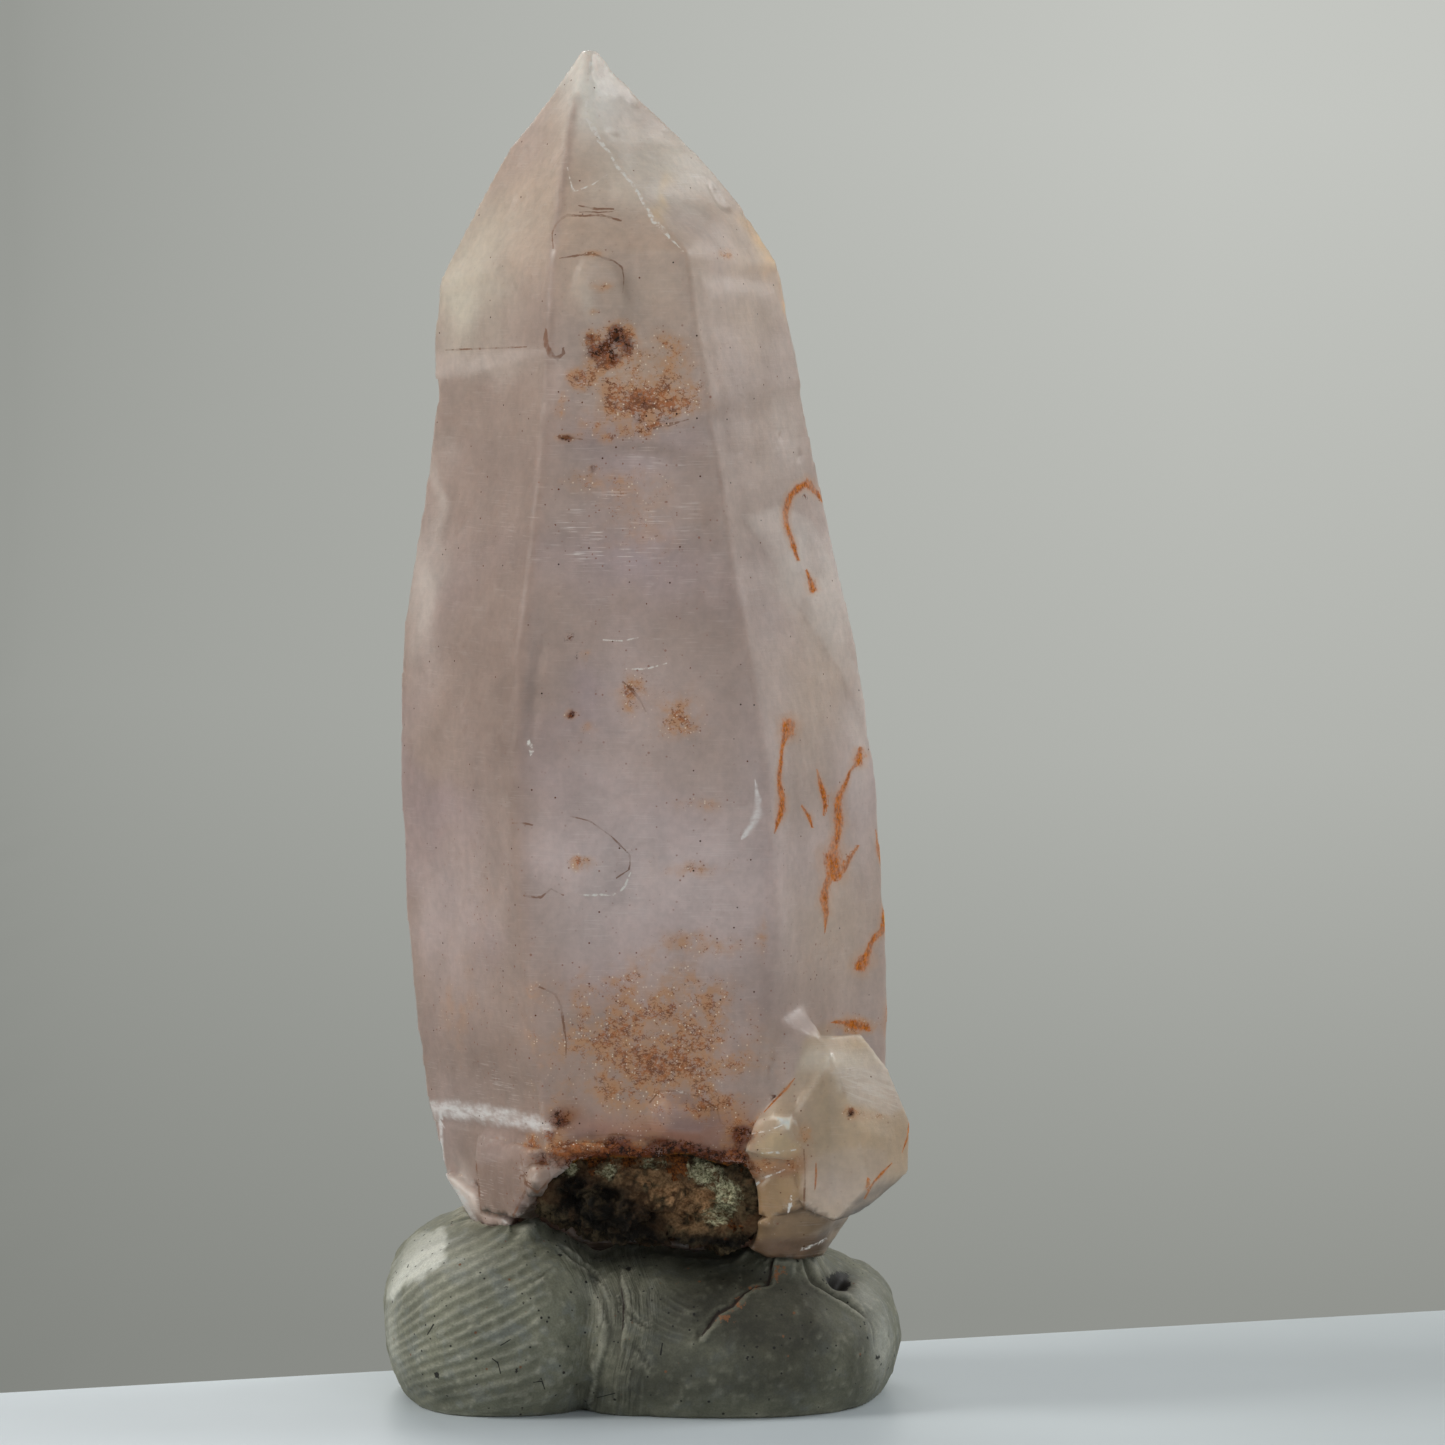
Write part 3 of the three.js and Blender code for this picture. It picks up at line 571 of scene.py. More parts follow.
BACK_BROWN_LINES = [
    [(-1.9, 27.6, 0.06), (-1.3, 28.3, 0.08), (0.2, 28.6, 0.09), (1.6, 28.3, 0.07), (2.1, 27.4, 0.04)],
    [(-1.0, 21.6, 0.05), (0.3, 22.0, 0.08), (1.3, 21.5, 0.05)],
    [(3.4, 35.8, 0.05), (4.6, 36.2, 0.08), (5.4, 35.9, 0.04)],
    [(-4.6, 22.8, 0.05), (-5.3, 23.4, 0.07), (-6.2, 23.2, 0.04)],
]
BACK_GLINTS = [
    [(-0.3, 47.6, 0.08), (-0.1, 45.9, 0.14), (0.3, 44.2, 0.1), (0.4, 42.8, 0.16), (0.9, 41.2, 0.06)],
    [(-2.4, 26.0, 0.04), (-2.6, 23.6, 0.09), (-2.5, 21.0, 0.05)],
    [(1.7, 18.0, 0.04), (2.3, 20.2, 0.09), (2.3, 22.6, 0.04)],
    [(4.2, 29.6, 0.05), (5.4, 29.8, 0.09), (6.3, 29.5, 0.04)],
    [(-3.4, 33.6, 0.04), (-4.3, 33.9, 0.08), (-5.0, 33.7, 0.04)],
]
BACK_VEILS = [
    [(-6.4, 32.0, 0.1), (-5.6, 33.2, 0.5), (-4.4, 33.9, 0.6), (-3.2, 34.1, 0.2)],
    [(1.0, 24.6, 0.2), (1.5, 25.9, 0.5), (1.1, 27.2, 0.2)],
    [(4.4, 12.4, 0.2), (5.2, 13.4, 0.6), (6.4, 13.8, 0.2)],
    [(-1.6, 12.6, 0.2), (-0.4, 13.0, 0.5), (1.2, 12.8, 0.2)],
]
# How milky quartz and its stains look under the studio's light, as screen colours
CREAM = (193, 187, 170)
PEARL = (187, 179, 166)
FROST = (192, 188, 180)
# Painted light, where the quartz glows
PAINTED_GLOW = (180, 169, 160)
MILK = (170, 154, 151)
HAZE = (154, 137, 138)
TAN = (166, 147, 130)
ROSE = (149, 130, 120)
LILAC = (146, 128, 130)
# A smoky tint, and painted shade on the left face and along the panel's left edge
SMOKE_AND_SHADE = (131, 112, 102)
GOLD = (198, 172, 128)
AMBER = (206, 166, 108)
SALMON = (138, 92, 72)
RUSSET = (84, 34, 6)
OCHRE = (122, 72, 24)
BEIGE = (158, 139, 117)
UMBER = (98, 78, 58)
# Painted shadow under the foot and the crust
PAINTED_SHADOW = (34, 26, 18)

# The two long edges of the middle panel, from the top down, in photo pixels
PANEL_LEFT = [
    (581, 76), (572, 120), (553, 250), (548, 370), (545, 440), (538, 482), (530, 560), (519, 640),
    (513, 740), (515, 830), (520, 900), (527, 980), (535, 1060), (545, 1130),
]
PANEL_RIGHT = [
    (640, 120), (688, 250), (697, 330), (705, 400), (713, 440), (725, 500), (738, 590), (750, 650),
    (765, 750), (775, 800), (780, 900), (776, 1000), (766, 1090),
]

# Zones of the front: tone, centre and half sizes in photo pixels, and strength, laid on in this order
# Glow zones are painted light, and the dark zones below the crust painted shadow.
# The smoke zones on the left face are painted shade.
FRONT_ZONES = [
    (FROST, (600, 96), (38, 52), 0.8), (PEARL, (668, 165), (56, 44), 0.7), (TAN, (540, 220), (40, 56), 0.6),
    (CREAM, (460, 292), (38, 56), 0.65), (CREAM, (488, 232), (28, 40), 0.25),
    (GOLD, (764, 240), (22, 34), 0.35), (AMBER, (744, 214), (12, 12), 0.3),
    (AMBER, (757, 232), (12, 14), 0.4), (AMBER, (771, 256), (8, 14), 0.5),
    (AMBER, (780, 278), (8, 14), 0.7), (AMBER, (788, 306), (6, 20), 0.7), (TAN, (745, 318), (30, 34), 0.55),
    (TAN, (660, 290), (80, 50), 0.55), (PEARL, (588, 292), (14, 30), 0.35),
    (SMOKE_AND_SHADE, (522, 425), (30, 40), 0.5), (SMOKE_AND_SHADE, (500, 500), (30, 90), 0.4),
    (PAINTED_GLOW, (437, 505), (10, 70), 0.5), (PAINTED_GLOW, (420, 590), (15, 60), 0.75),
    (SMOKE_AND_SHADE, (496, 700), (32, 100), 0.85), (LILAC, (448, 812), (34, 30), 0.5),
    (MILK, (440, 910), (26, 60), 0.5), (SMOKE_AND_SHADE, (492, 1056), (60, 50), 1.0),
    (SMOKE_AND_SHADE, (500, 1070), (44, 30), 0.4), (TAN, (640, 372), (66, 46), 0.5),
    (SMOKE_AND_SHADE, (654, 450), (56, 9), 0.85), (SMOKE_AND_SHADE, (706, 528), (24, 26), 0.55),
    (HAZE, (634, 560), (60, 34), 0.8), (SMOKE_AND_SHADE, (700, 604), (26, 42), 0.35),
    (LILAC, (584, 700), (26, 36), 0.6), (MILK, (604, 782), (44, 24), 0.5),
    (MILK, (592, 856), (74, 56), 0.9), (MILK, (700, 870), (60, 50), 0.5),
    (SMOKE_AND_SHADE, (745, 960), (34, 44), 0.45), (MILK, (590, 940), (50, 30), 0.3),
    (TAN, (775, 420), (34, 70), 0.25), (PAINTED_GLOW, (790, 430), (14, 50), 0.3), (PAINTED_GLOW, (834, 590), (16, 60), 0.7),
    (PAINTED_GLOW, (862, 740), (12, 60), 0.5), (MILK, (820, 860), (34, 44), 0.45),
    (SMOKE_AND_SHADE, (790, 1000), (30, 40), 0.5), (PAINTED_GLOW, (458, 1192), (12, 20), 0.7),
    (SMOKE_AND_SHADE, (500, 1190), (24, 24), 0.5), (SMOKE_AND_SHADE, (684, 1114), (28, 18), 0.6),
    (PAINTED_GLOW, (482, 364), (56, 13), 0.5), (PAINTED_GLOW, (790, 566), (16, 40), 0.6),
    (PAINTED_GLOW, (822, 640), (14, 40), 0.35), (PAINTED_SHADOW, (640, 1240), (110, 12), 1.0),
    (PAINTED_SHADOW, (556, 1214), (34, 14), 0.8), (UMBER, (556, 1150), (24, 10), 0.5),
    (SMOKE_AND_SHADE, (470, 1160), (30, 20), 0.3), (PAINTED_GLOW, (836, 480), (10, 60), 0.4),
    (PEARL, (700, 150), (50, 40), 0.4), (GOLD, (664, 200), (7, 18), 0.5), (FROST, (588, 90), (24, 40), 0.8),
    (PEARL, (612, 178), (38, 30), 0.3), (SALMON, (655, 1130), (104, 18), 0.9),
    (RUSSET, (662, 1148), (98, 11), 1.0), (OCHRE, (560, 1116), (14, 14), 0.9),
    (RUSSET, (742, 1136), (15, 14), 0.7), (TAN, (655, 380), (54, 50), 0.4),
    (UMBER, (664, 1154), (90, 4), 0.9), (SALMON, (744, 1146), (26, 14), 0.6),
    (TAN, (815, 665), (34, 60), 0.4), (TAN, (832, 920), (36, 54), 0.6),
    (SMOKE_AND_SHADE, (640, 1050), (90, 50), 0.25), (TAN, (815, 700), (40, 70), 0.3),
    (MILK, (650, 880), (84, 60), 0.8), (PAINTED_GLOW, (650, 885), (90, 64), 0.35),
    (MILK, (466, 925), (40, 60), 0.4), (MILK, (640, 710), (70, 60), 0.25),
    (MILK, (640, 930), (70, 50), 0.4), (MILK, (690, 900), (90, 100), 0.4),
    (SMOKE_AND_SHADE, (486, 620), (46, 240), 0.45), (SMOKE_AND_SHADE, (520, 860), (16, 90), 0.4),
]
# The same behind, with centre and half sizes in millimetres
BACK_ZONES = [
    (CREAM, (-3.4, 40.0), (2.0, 3.0), 0.6), (PEARL, (0.6, 44.0), (2.4, 3.0), 0.6),
    (GOLD, (3.6, 38.6), (1.2, 1.6), 0.4), (LILAC, (0.0, 21.0), (2.2, 6.0), 0.8),
    (PAINTED_GLOW, (-6.0, 29.0), (1.0, 6.0), 0.6), (PAINTED_GLOW, (6.0, 22.0), (0.9, 7.0), 0.6),
    (MILK, (3.6, 28.0), (1.2, 5.0), 0.6), (SMOKE_AND_SHADE, (-3.8, 17.0), (1.0, 5.0), 0.5),
    (MILK, (-4.2, 26.0), (1.2, 4.0), 0.6), (PEARL, (1.0, 31.6), (2.6, 0.9), 0.5),
    (SMOKE_AND_SHADE, (0.4, 12.4), (3.0, 1.6), 0.4),
]
# Outline of the crystals on the right in the front view, and the zones on them
SIDE_CRYSTAL = [
    (752, 1190), (744, 1150), (757, 1120), (794, 1080), (806, 1040), (822, 1026), (862, 1026), (880, 1050),
    (902, 1092), (914, 1128), (912, 1178), (860, 1216), (828, 1262), (770, 1264), (735, 1246),
]
# The first zone darkens their tops, a painted shade, and the glow zones are painted light
SIDE_ZONES = [
    (ROSE, (846, 1026), (60, 14), 1.0), (PEARL, (848, 1060), (44, 16), 0.7),
    (PEARL, (816, 1062), (16, 12), 0.5), (BEIGE, (836, 1044), (34, 8), 0.4),
    (GOLD, (866, 1040), (26, 8), 0.3), (PAINTED_GLOW, (872, 1090), (30, 22), 0.5),
    (BEIGE, (836, 1120), (30, 30), 0.7), (PAINTED_GLOW, (856, 1190), (34, 26), 0.5),
    (MILK, (830, 1190), (26, 24), 0.4), (OCHRE, (774, 1166), (28, 9), 0.9),
    (OCHRE, (796, 1160), (12, 10), 0.6), (BEIGE, (776, 1200), (24, 18), 0.3),
    (UMBER, (796, 1244), (46, 18), 0.6), (GOLD, (850, 1110), (50, 60), 0.18),
    (UMBER, (752, 1236), (20, 22), 0.9), (OCHRE, (752, 1188), (8, 26), 0.6),
    (TAN, (800, 1100), (20, 26), 0.5),
]
# Single facets, ledges and flakes: tone, strength and outline in photo pixels
FACETS = [
    ((176, 162, 154), 0.25,
     [(436, 352), (500, 350), (548, 347), (547, 355), (500, 363), (470, 374), (436, 379)]),
    ((138, 120, 108), 0.3, [(436, 381), (470, 376), (500, 365), (547, 357), (541, 440), (436, 440)]),
    ((128, 108, 106), 0.5,
     [(652, 1102), (662, 1093), (682, 1091), (702, 1098), (716, 1108), (720, 1122), (700, 1132),
      (668, 1130), (654, 1118)]),
    # Painted light on the right face
    ((186, 176, 168), 0.35,
     [(744, 516), (780, 506), (812, 520), (850, 600), (880, 700), (872, 732), (838, 668), (800, 606)]),
    ((170, 158, 146), 0.6, [(830, 1068), (884, 1064), (906, 1106), (890, 1116), (850, 1102)]),
    ((150, 132, 110), 0.4, [(806, 1074), (832, 1074), (846, 1102), (838, 1150), (806, 1150)]),
    ((168, 152, 136), 0.5,
     [(806, 1160), (846, 1148), (886, 1150), (890, 1180), (856, 1210), (834, 1218), (807, 1207)]),
    ((124, 98, 66), 0.8,
     [(750, 1206), (764, 1182), (800, 1170), (805, 1208), (832, 1220), (800, 1240), (744, 1240)]),
    ((142, 116, 84), 0.7,
     [(750, 1204), (756, 1190), (772, 1180), (792, 1174), (800, 1200), (792, 1218), (760, 1222)]),
    ((106, 78, 54), 0.8, [(738, 1240), (790, 1240), (828, 1234), (812, 1264), (764, 1264)]),
    ((176, 154, 116), 0.5, [(756, 1146), (776, 1128), (800, 1148), (796, 1156), (762, 1157)]),
    # A small bright facet, a painted highlight
    ((222, 212, 194), 1.0, [(773, 1116), (791, 1118), (789, 1129)]),
    ((124, 102, 90), 0.75, [(477, 1164), (520, 1157), (526, 1196), (512, 1216), (481, 1208)]),
    ((188, 173, 163), 0.9, [(444, 1176), (474, 1186), (480, 1214), (463, 1202)]),
    ((176, 154, 144), 0.85, [(480, 1211), (512, 1216), (506, 1234), (486, 1229)]),
    # Painted shadow under the foot
    ((60, 44, 33), 0.9, [(518, 1204), (552, 1206), (566, 1232), (516, 1226)]),
    ((146, 128, 116), 0.7, [(519, 1178), (530, 1164), (548, 1162), (550, 1180), (537, 1193)]),
    ((104, 66, 26), 1.0, [(562, 1158), (572, 1146), (586, 1142), (602, 1144), (611, 1157)]),
]
STRIATED = [(833, 1070), (884, 1068), (904, 1104), (892, 1114), (850, 1102)]  # outline of a grooved facet
STRIAE_FALL = 24  # how steeply its grooves fall to the right, in degrees
LIFT = 1.7  # how much lighter the quartz itself is than it looks in the studio
LIGHTEST = 0.92  # as much of the light as it may send back
SHAFT_START = (240, 300)  # the photo rows over which the panel's edges begin to tell
TIP_START = (78, 116)  # those over which its left edge in the head does
SIDE_DEPTH = (-2.5 * MM, -4 * MM)  # the crystals on the right lie in front of this
UNDER_FOOT_SHADOW = ((622, 1244), (70, 14), 1.3)  # painted shadow on the underside of the foot, in photo pixels

# Colours of what is drawn on the quartz, as light values
VEIL_WHITE = colour(246, 240, 236)
SCRATCH_WHITE = colour(246, 238, 232)
GROOVE_WHITE = colour(236, 226, 212)
# Painted highlights of glints and sharp edges, and of sparkles in the rust
GLINT_WHITE = colour(244, 238, 230)
SPARKLE_WHITE = colour(250, 236, 216)
FILM_TONES = (colour(212, 160, 114), colour(108, 42, 4))  # from clean rust to dirt
FLECK_TONES = (colour(116, 54, 16), colour(192, 112, 54))
STRAY_BROWN = colour(148, 86, 60)
SOOT_TONES = (colour(106, 46, 6), colour(32, 16, 4))
LINE_BROWN = colour(134, 82, 44)
HALO_TAN = colour(216, 160, 112)
STROKE_TONES = (colour(160, 78, 0), colour(226, 126, 10))

# How the quartz lets light through
QUARTZ_IOR = 1.544
CLEAR_SHARE = 0.3  # plain transmission
MILKY_SHARE = 0.65  # scattering under the surface
MILKY_REACH = (1.0, 0.85, 0.82)  # how far red, green and blue light scatter, as shares of the next length
MILKY_SCALE = 0.9 * MM
ABSORPTION_TONE = colour(226, 208, 214)
ABSORPTION_DENSITY = 60.0  # per metre

# Small crystals and ledges that fill in the form, each the hull of places (u, v, depth in millimetres)
SMALL_FORMS = [
    [(748, 1152, -6.6), (808, 1150, -6.4), (806, 1186, -6.2), (790, 1170, -6.7), (752, 1178, -6.2),
     (748, 1152, -4.0), (808, 1150, -4.0), (806, 1186, -4.0), (752, 1178, -4.0)],
    [(752, 1130, -6.8), (783, 1117, -7.3), (795, 1120, -7.2), (810, 1150, -6.8), (790, 1160, -6.9),
     (756, 1156, -6.8), (752, 1128, -4.6), (812, 1120, -4.6), (812, 1158, -4.6), (752, 1158, -4.6)],
    [(773, 1116, -7.45), (791, 1118, -7.35), (789, 1129, -7.5), (776, 1114, -6.6), (794, 1116, -6.6),
     (790, 1134, -6.6)],
    [(770, 1016, -6.62), (770, 1094, -6.6), (798, 1100, -6.7), (826, 1062, -6.32), (826, 1042, -6.05),
     (800, 1000, -5.0), (800, 1080, -4.5), (824, 1050, -4.5), (776, 1050, -5.5)],
    [(797, 1080, -5.9), (812, 1056, -6.1), (832, 1054, -6.32), (830, 1150, -6.55), (828, 1206, -6.6),
     (802, 1206, -6.7), (794, 1170, -6.6), (794, 1116, -7.05), (796, 1150, -6.95), (800, 1080, -4.5),
     (828, 1060, -4.5), (826, 1200, -4.5), (800, 1200, -4.5)],
    [(545, 1152, -6.4), (580, 1142, -6.62), (603, 1142, -6.62), (612, 1157, -6.5), (550, 1158, -6.25),
     (560, 1150, -5.6), (605, 1150, -5.6)],
]
# Parts of the front whose facets have worn soft, as outlines in photo pixels
WORN_AREAS = [
    [(390, 250), (590, 262), (690, 266), (770, 290), (800, 300), (915, 1000), (812, 1020), (745, 1070),
     (560, 1080), (420, 1092), (375, 700)],
    [(592, 84), (578, 74), (560, 150), (440, 262), (545, 268), (600, 262), (650, 262)],
    [(640, 120), (790, 262), (700, 262), (655, 190)], [(640, 1066), (732, 1066), (732, 1142), (640, 1142)],
]


def crystal_skin(skin):
    """Turns the exact facets into a worn natural surface, and says how sharp each point still is. The
    heights are millimetres."""
    skin.smooth(1, 0.35)
    edge = skin.spread(np.clip(skin.crest() * 4, 0, 1), 1)
    worn = sum(inside(skin.pixels, corners, 8) for corners in WORN_AREAS) * smoothstep(-0.1, 0.2, skin.facing)
    worn += 0.3 * smoothstep(0.0, -0.3, skin.facing) * smoothstep(9 * MM, 11 * MM, skin.points[:, 2])
    worn = np.clip(worn, 0, 1)
    skin.smooth(9, 0.5, worn)
    points = skin.points
    z = points[:, 2]
    upright = smoothstep(0.5, 0.2, np.abs(skin.normals[:, 2]))
    foot = smoothstep(FOOT_TOP, FOOT_TOP - 1.6 * MM, z)
    wave = 0.03 * noise(points, 3.4 * MM, 1) + 0.014 * noise(points, 1.3 * MM, 2)
    ripple = 0.012 * fractal(points, np.array([7.0, 7.0, 0.62]) * MM, 5, 2) * upright
    hillocks = 0.012 * noise(points, np.array([0.8, 0.8, 1.6]) * MM, 8)
    pitted = smoothstep(0.0, 0.4, noise(points, 5 * MM, 12))
    pits = -0.06 * smoothstep(0.5, 0.75, noise(points, 0.75 * MM, 11)) * pitted
    rough = foot * 0.05 * fractal(points, 0.9 * MM, 14, 3)
    chips = -edge * (1 - 0.8 * worn) * (0.02 + 0.12 * smoothstep(0.15, 0.6, noise(points, 1.1 * MM, 20)))
    skin.raise_by((wave + ripple + hillocks + pits + rough + chips) * MM)
    return skin.spread(smoothstep(0.03, 0.3, skin.crest()), 1) * (1 - 0.7 * worn)


def crystal_fields(skin, crust_tree):
    """Stores where the crystal's tints, rust, lines and veils lie."""
    front = smoothstep(0.0, 0.25, skin.facing)
    behind = smoothstep(0.0, -0.25, skin.facing)
    flat = skin.points[:, [0, 2]] / MM
    _, reach, half = stroke_field(skin.pixels, GROOVES, front > 0).T
    skin.raise_by(-0.08 * MM * smoothstep(1.4, 0.2, reach / half) * front)
    lines = {"rust_stroke": (RUST_STROKES, BACK_STROKES), "brown_line": (BROWN_LINES, BACK_BROWN_LINES),
             "glint": (GLINT_LINES, BACK_GLINTS), "veil": (VEILS, BACK_VEILS)}
    for name, (strokes, back_strokes) in lines.items():
        field = stroke_field(skin.pixels, strokes, front > 0)
        back = stroke_field(flat, back_strokes, behind > 0, 1)
        skin.keep(name, np.where(behind[:, None] > 0, back, field))
    hollow = smoothstep(0.05, 0.3, skin.spread(-skin.crest(), 1))
    low = smoothstep(13 * MM, 9 * MM, skin.points[:, 2])
    crust = smoothstep(CRUST_STAIN, 0.0, distances(skin.points, crust_tree, CRUST_STAIN))
    crust *= 0.3 + 0.7 * smoothstep(*CRUST_RIM, skin.pixels[:, 1])
    rust = front * spots(skin.pixels, RUST_PATCHES) + behind * spots(flat, BACK_PATCHES)
    upward = smoothstep(-0.85, -0.5, skin.normals[:, 2])
    skin.keep("rust", np.clip((rust + 0.4 * hollow * low + crust) * upward, 0, 1))
    dirt_and_shade = front * spots(skin.pixels, DIRT_PATCHES) + 0.2 * smoothstep(0.0, 0.5, crust)
    # Near the crust: its rust dirt, and on the faces that look down, painted shade
    dirt_and_shade += (0.5 + 2 * (1 - upward)) * smoothstep(0.3, 0.9, crust)
    skin.keep("dirt_and_shade", np.clip(dirt_and_shade, 0, 1))
    skin.keep("striated", front * inside(skin.pixels, STRIATED, 5))
    elsewhere = (1 - front) * smoothstep(0.1, 0.6, noise(skin.points, np.array([2.4, 2.4, 1.4]) * MM, 46))
    skin.keep("scratched", np.clip(0.12 + front * spots(skin.pixels, SCRATCHED) + 0.8 * elsewhere, 0, 1))
    skin.keep_colour("tint", crystal_tints(skin, front, behind))


def distances(points, tree, most):
    """How far points are from a piece, up to a limit."""
    found = (tree.find_nearest(Vector(point), most)[3] for point in points)
    return np.array([most if away is None else away for away in found])


def blend(under, over, share):
    """Lays a screen colour over light values, by a share for each point."""
    return under + (np.array(colour(*over)) - under) * np.clip(share, 0, 1)[:, None]


def crystal_tints(skin, front, behind):
    """The quartz's colour at each point, as light values, with painted light and shade laid in."""
    points = skin.points
    u, v = skin.pixels.T
    height = points[:, 2] + 1.5 * MM * noise(points, 4 * MM, 30)
    head = smoothstep(HEAD_RIM - 1 * MM, HEAD_RIM + 5 * MM, height)
    varied = 1 - 0.6 * head
    lilac = smoothstep(0.0, 0.9, noise(points, np.array([4, 4, 3]) * MM, 31))
    milky = smoothstep(0.0, 0.9, noise(points, np.array([4, 4, 6]) * MM, 34))
    tint = np.tile(colour(*ROSE), (skin.count, 1))
    tint = blend(tint, TAN, 0.6 * head)
    tint = blend(tint, LILAC, 0.5 * varied * lilac)
    tint = blend(tint, MILK, 0.6 * varied * milky)
    left, right = (u - np.interp(v, *np.array(edge).T[::-1]) for edge in (PANEL_LEFT, PANEL_RIGHT))
    shaft = front * smoothstep(*SHAFT_START, v)
    # Painted shade on the face left of the panel, and painted light on the face right of it
    tint = blend(tint, SMOKE_AND_SHADE, 0.3 * shaft * smoothstep(2, -5, left))
    tint = blend(tint, PAINTED_GLOW, 0.16 * shaft * smoothstep(-3, 5, right))
    drift = 14 * np.c_[noise(points, 1.6 * MM, 40), noise(points, 1.6 * MM, 41)]
    for tone, *zone in FRONT_ZONES:
        tint = blend(tint, tone, front * spots(skin.pixels + drift, [zone]))
    uneven = np.clip(0.7 + 0.5 * noise(points, 1.4 * MM, 44), 0, 1)
    # Painted shade by the panel's left edge, in shaft and head, and a painted highlight by its right edge
    tint = blend(tint, SMOKE_AND_SHADE, 0.5 * uneven * shaft * smoothstep(-26, -4, left) * smoothstep(3, -3, left))
    tint = blend(tint, SMOKE_AND_SHADE, 0.7 * front * smoothstep(*TIP_START, v) * np.exp(-((left / 5) ** 2)))
    tint = blend(tint, PAINTED_GLOW, 0.2 * uneven * shaft * np.exp(-(((right + 3) / 5) ** 2)))
    flat = points[:, [0, 2]] / MM + 0.05 * drift
    for tone, *zone in BACK_ZONES:
        tint = blend(tint, tone, behind * spots(flat, [zone]))
    side = inside(skin.pixels + 0.2 * drift, SIDE_CRYSTAL, 4) * smoothstep(*SIDE_DEPTH, points[:, 1])
    tint = blend(tint, BEIGE, side)
    for tone, *zone in SIDE_ZONES:
        tint = blend(tint, tone, side * spots(skin.pixels + 0.4 * drift, [zone]))
    for tone, strength, corners in FACETS:
        tint = blend(tint, tone, strength * front * inside(skin.pixels + 0.1 * drift, corners, 2.5))
    # Painted shadow on the faces of the foot that look down, and under the foot
    under = smoothstep(-0.35, -0.8, skin.normals[:, 2]) * smoothstep(9 * MM, 8 * MM, points[:, 2])
    tint = blend(tint, PAINTED_SHADOW, 0.8 * under + spots(skin.pixels, [UNDER_FOOT_SHADOW]))
    return np.clip(LIFT * tint, 0, LIGHTEST)


def quartz_colour(s):
    """The quartz's tints with its veils, scratches and grooves, and painted highlights in its glints and
    along its sharp edges.
    """
    streaks = s.shading(0.035, (0.8, 0.8, 3.8), 4.0, 0.6, distortion=0.6)
    mottle = s.shading(0.06, 0.3, 4.0, 0.65)
    base = s.shaded(s.attribute("tint", "Color"), s.shading(0.07, 1.9), streaks, mottle)
    veil = s.product(s.step(s.stroke_share("veil", 0.8, 0.3), 1.45, 0.2),
                     s.uneven((0.7, 0.7, 0.22), 0.32, 0.62, 0.35, 1.0, 4.0, 0.65))
    base = s.mix(veil, base, VEIL_WHITE)
    scratch = s.product(s.uneven((1.1, 1.1, 0.045), 0.56, 0.68, detail=2.0, roughness=0.5),
                        s.attribute("scratched"), s.uneven(0.8, 0.4, 0.58, detail=2.0), 0.8)
    base = s.mix(scratch, base, SCRATCH_WHITE)
    grooves = s.uneven((1.8, 1.8, 0.12), 0.44, 0.6, 0.0, 1.0, 4.0, 0.6, distortion=0.3, turn=-STRIAE_FALL)
    base = s.mix(s.product(grooves, s.attribute("striated"), 0.5), base, GROOVE_WHITE)
    # Painted highlights: glints along their strokes, and along sharp edges
    glint = s.product(s.stroke("glint", 1.2, 0.12), s.uneven(0.22, 0.44, 0.56, 0.05, 1.0, roughness=0.6))
    worn = s.product(s.attribute("edge"), s.uneven(0.35, 0.5, 0.66, 0.0, 0.5, 4.0, 0.7))
    return s.mix(s.largest(glint, worn), base, GLINT_WHITE)


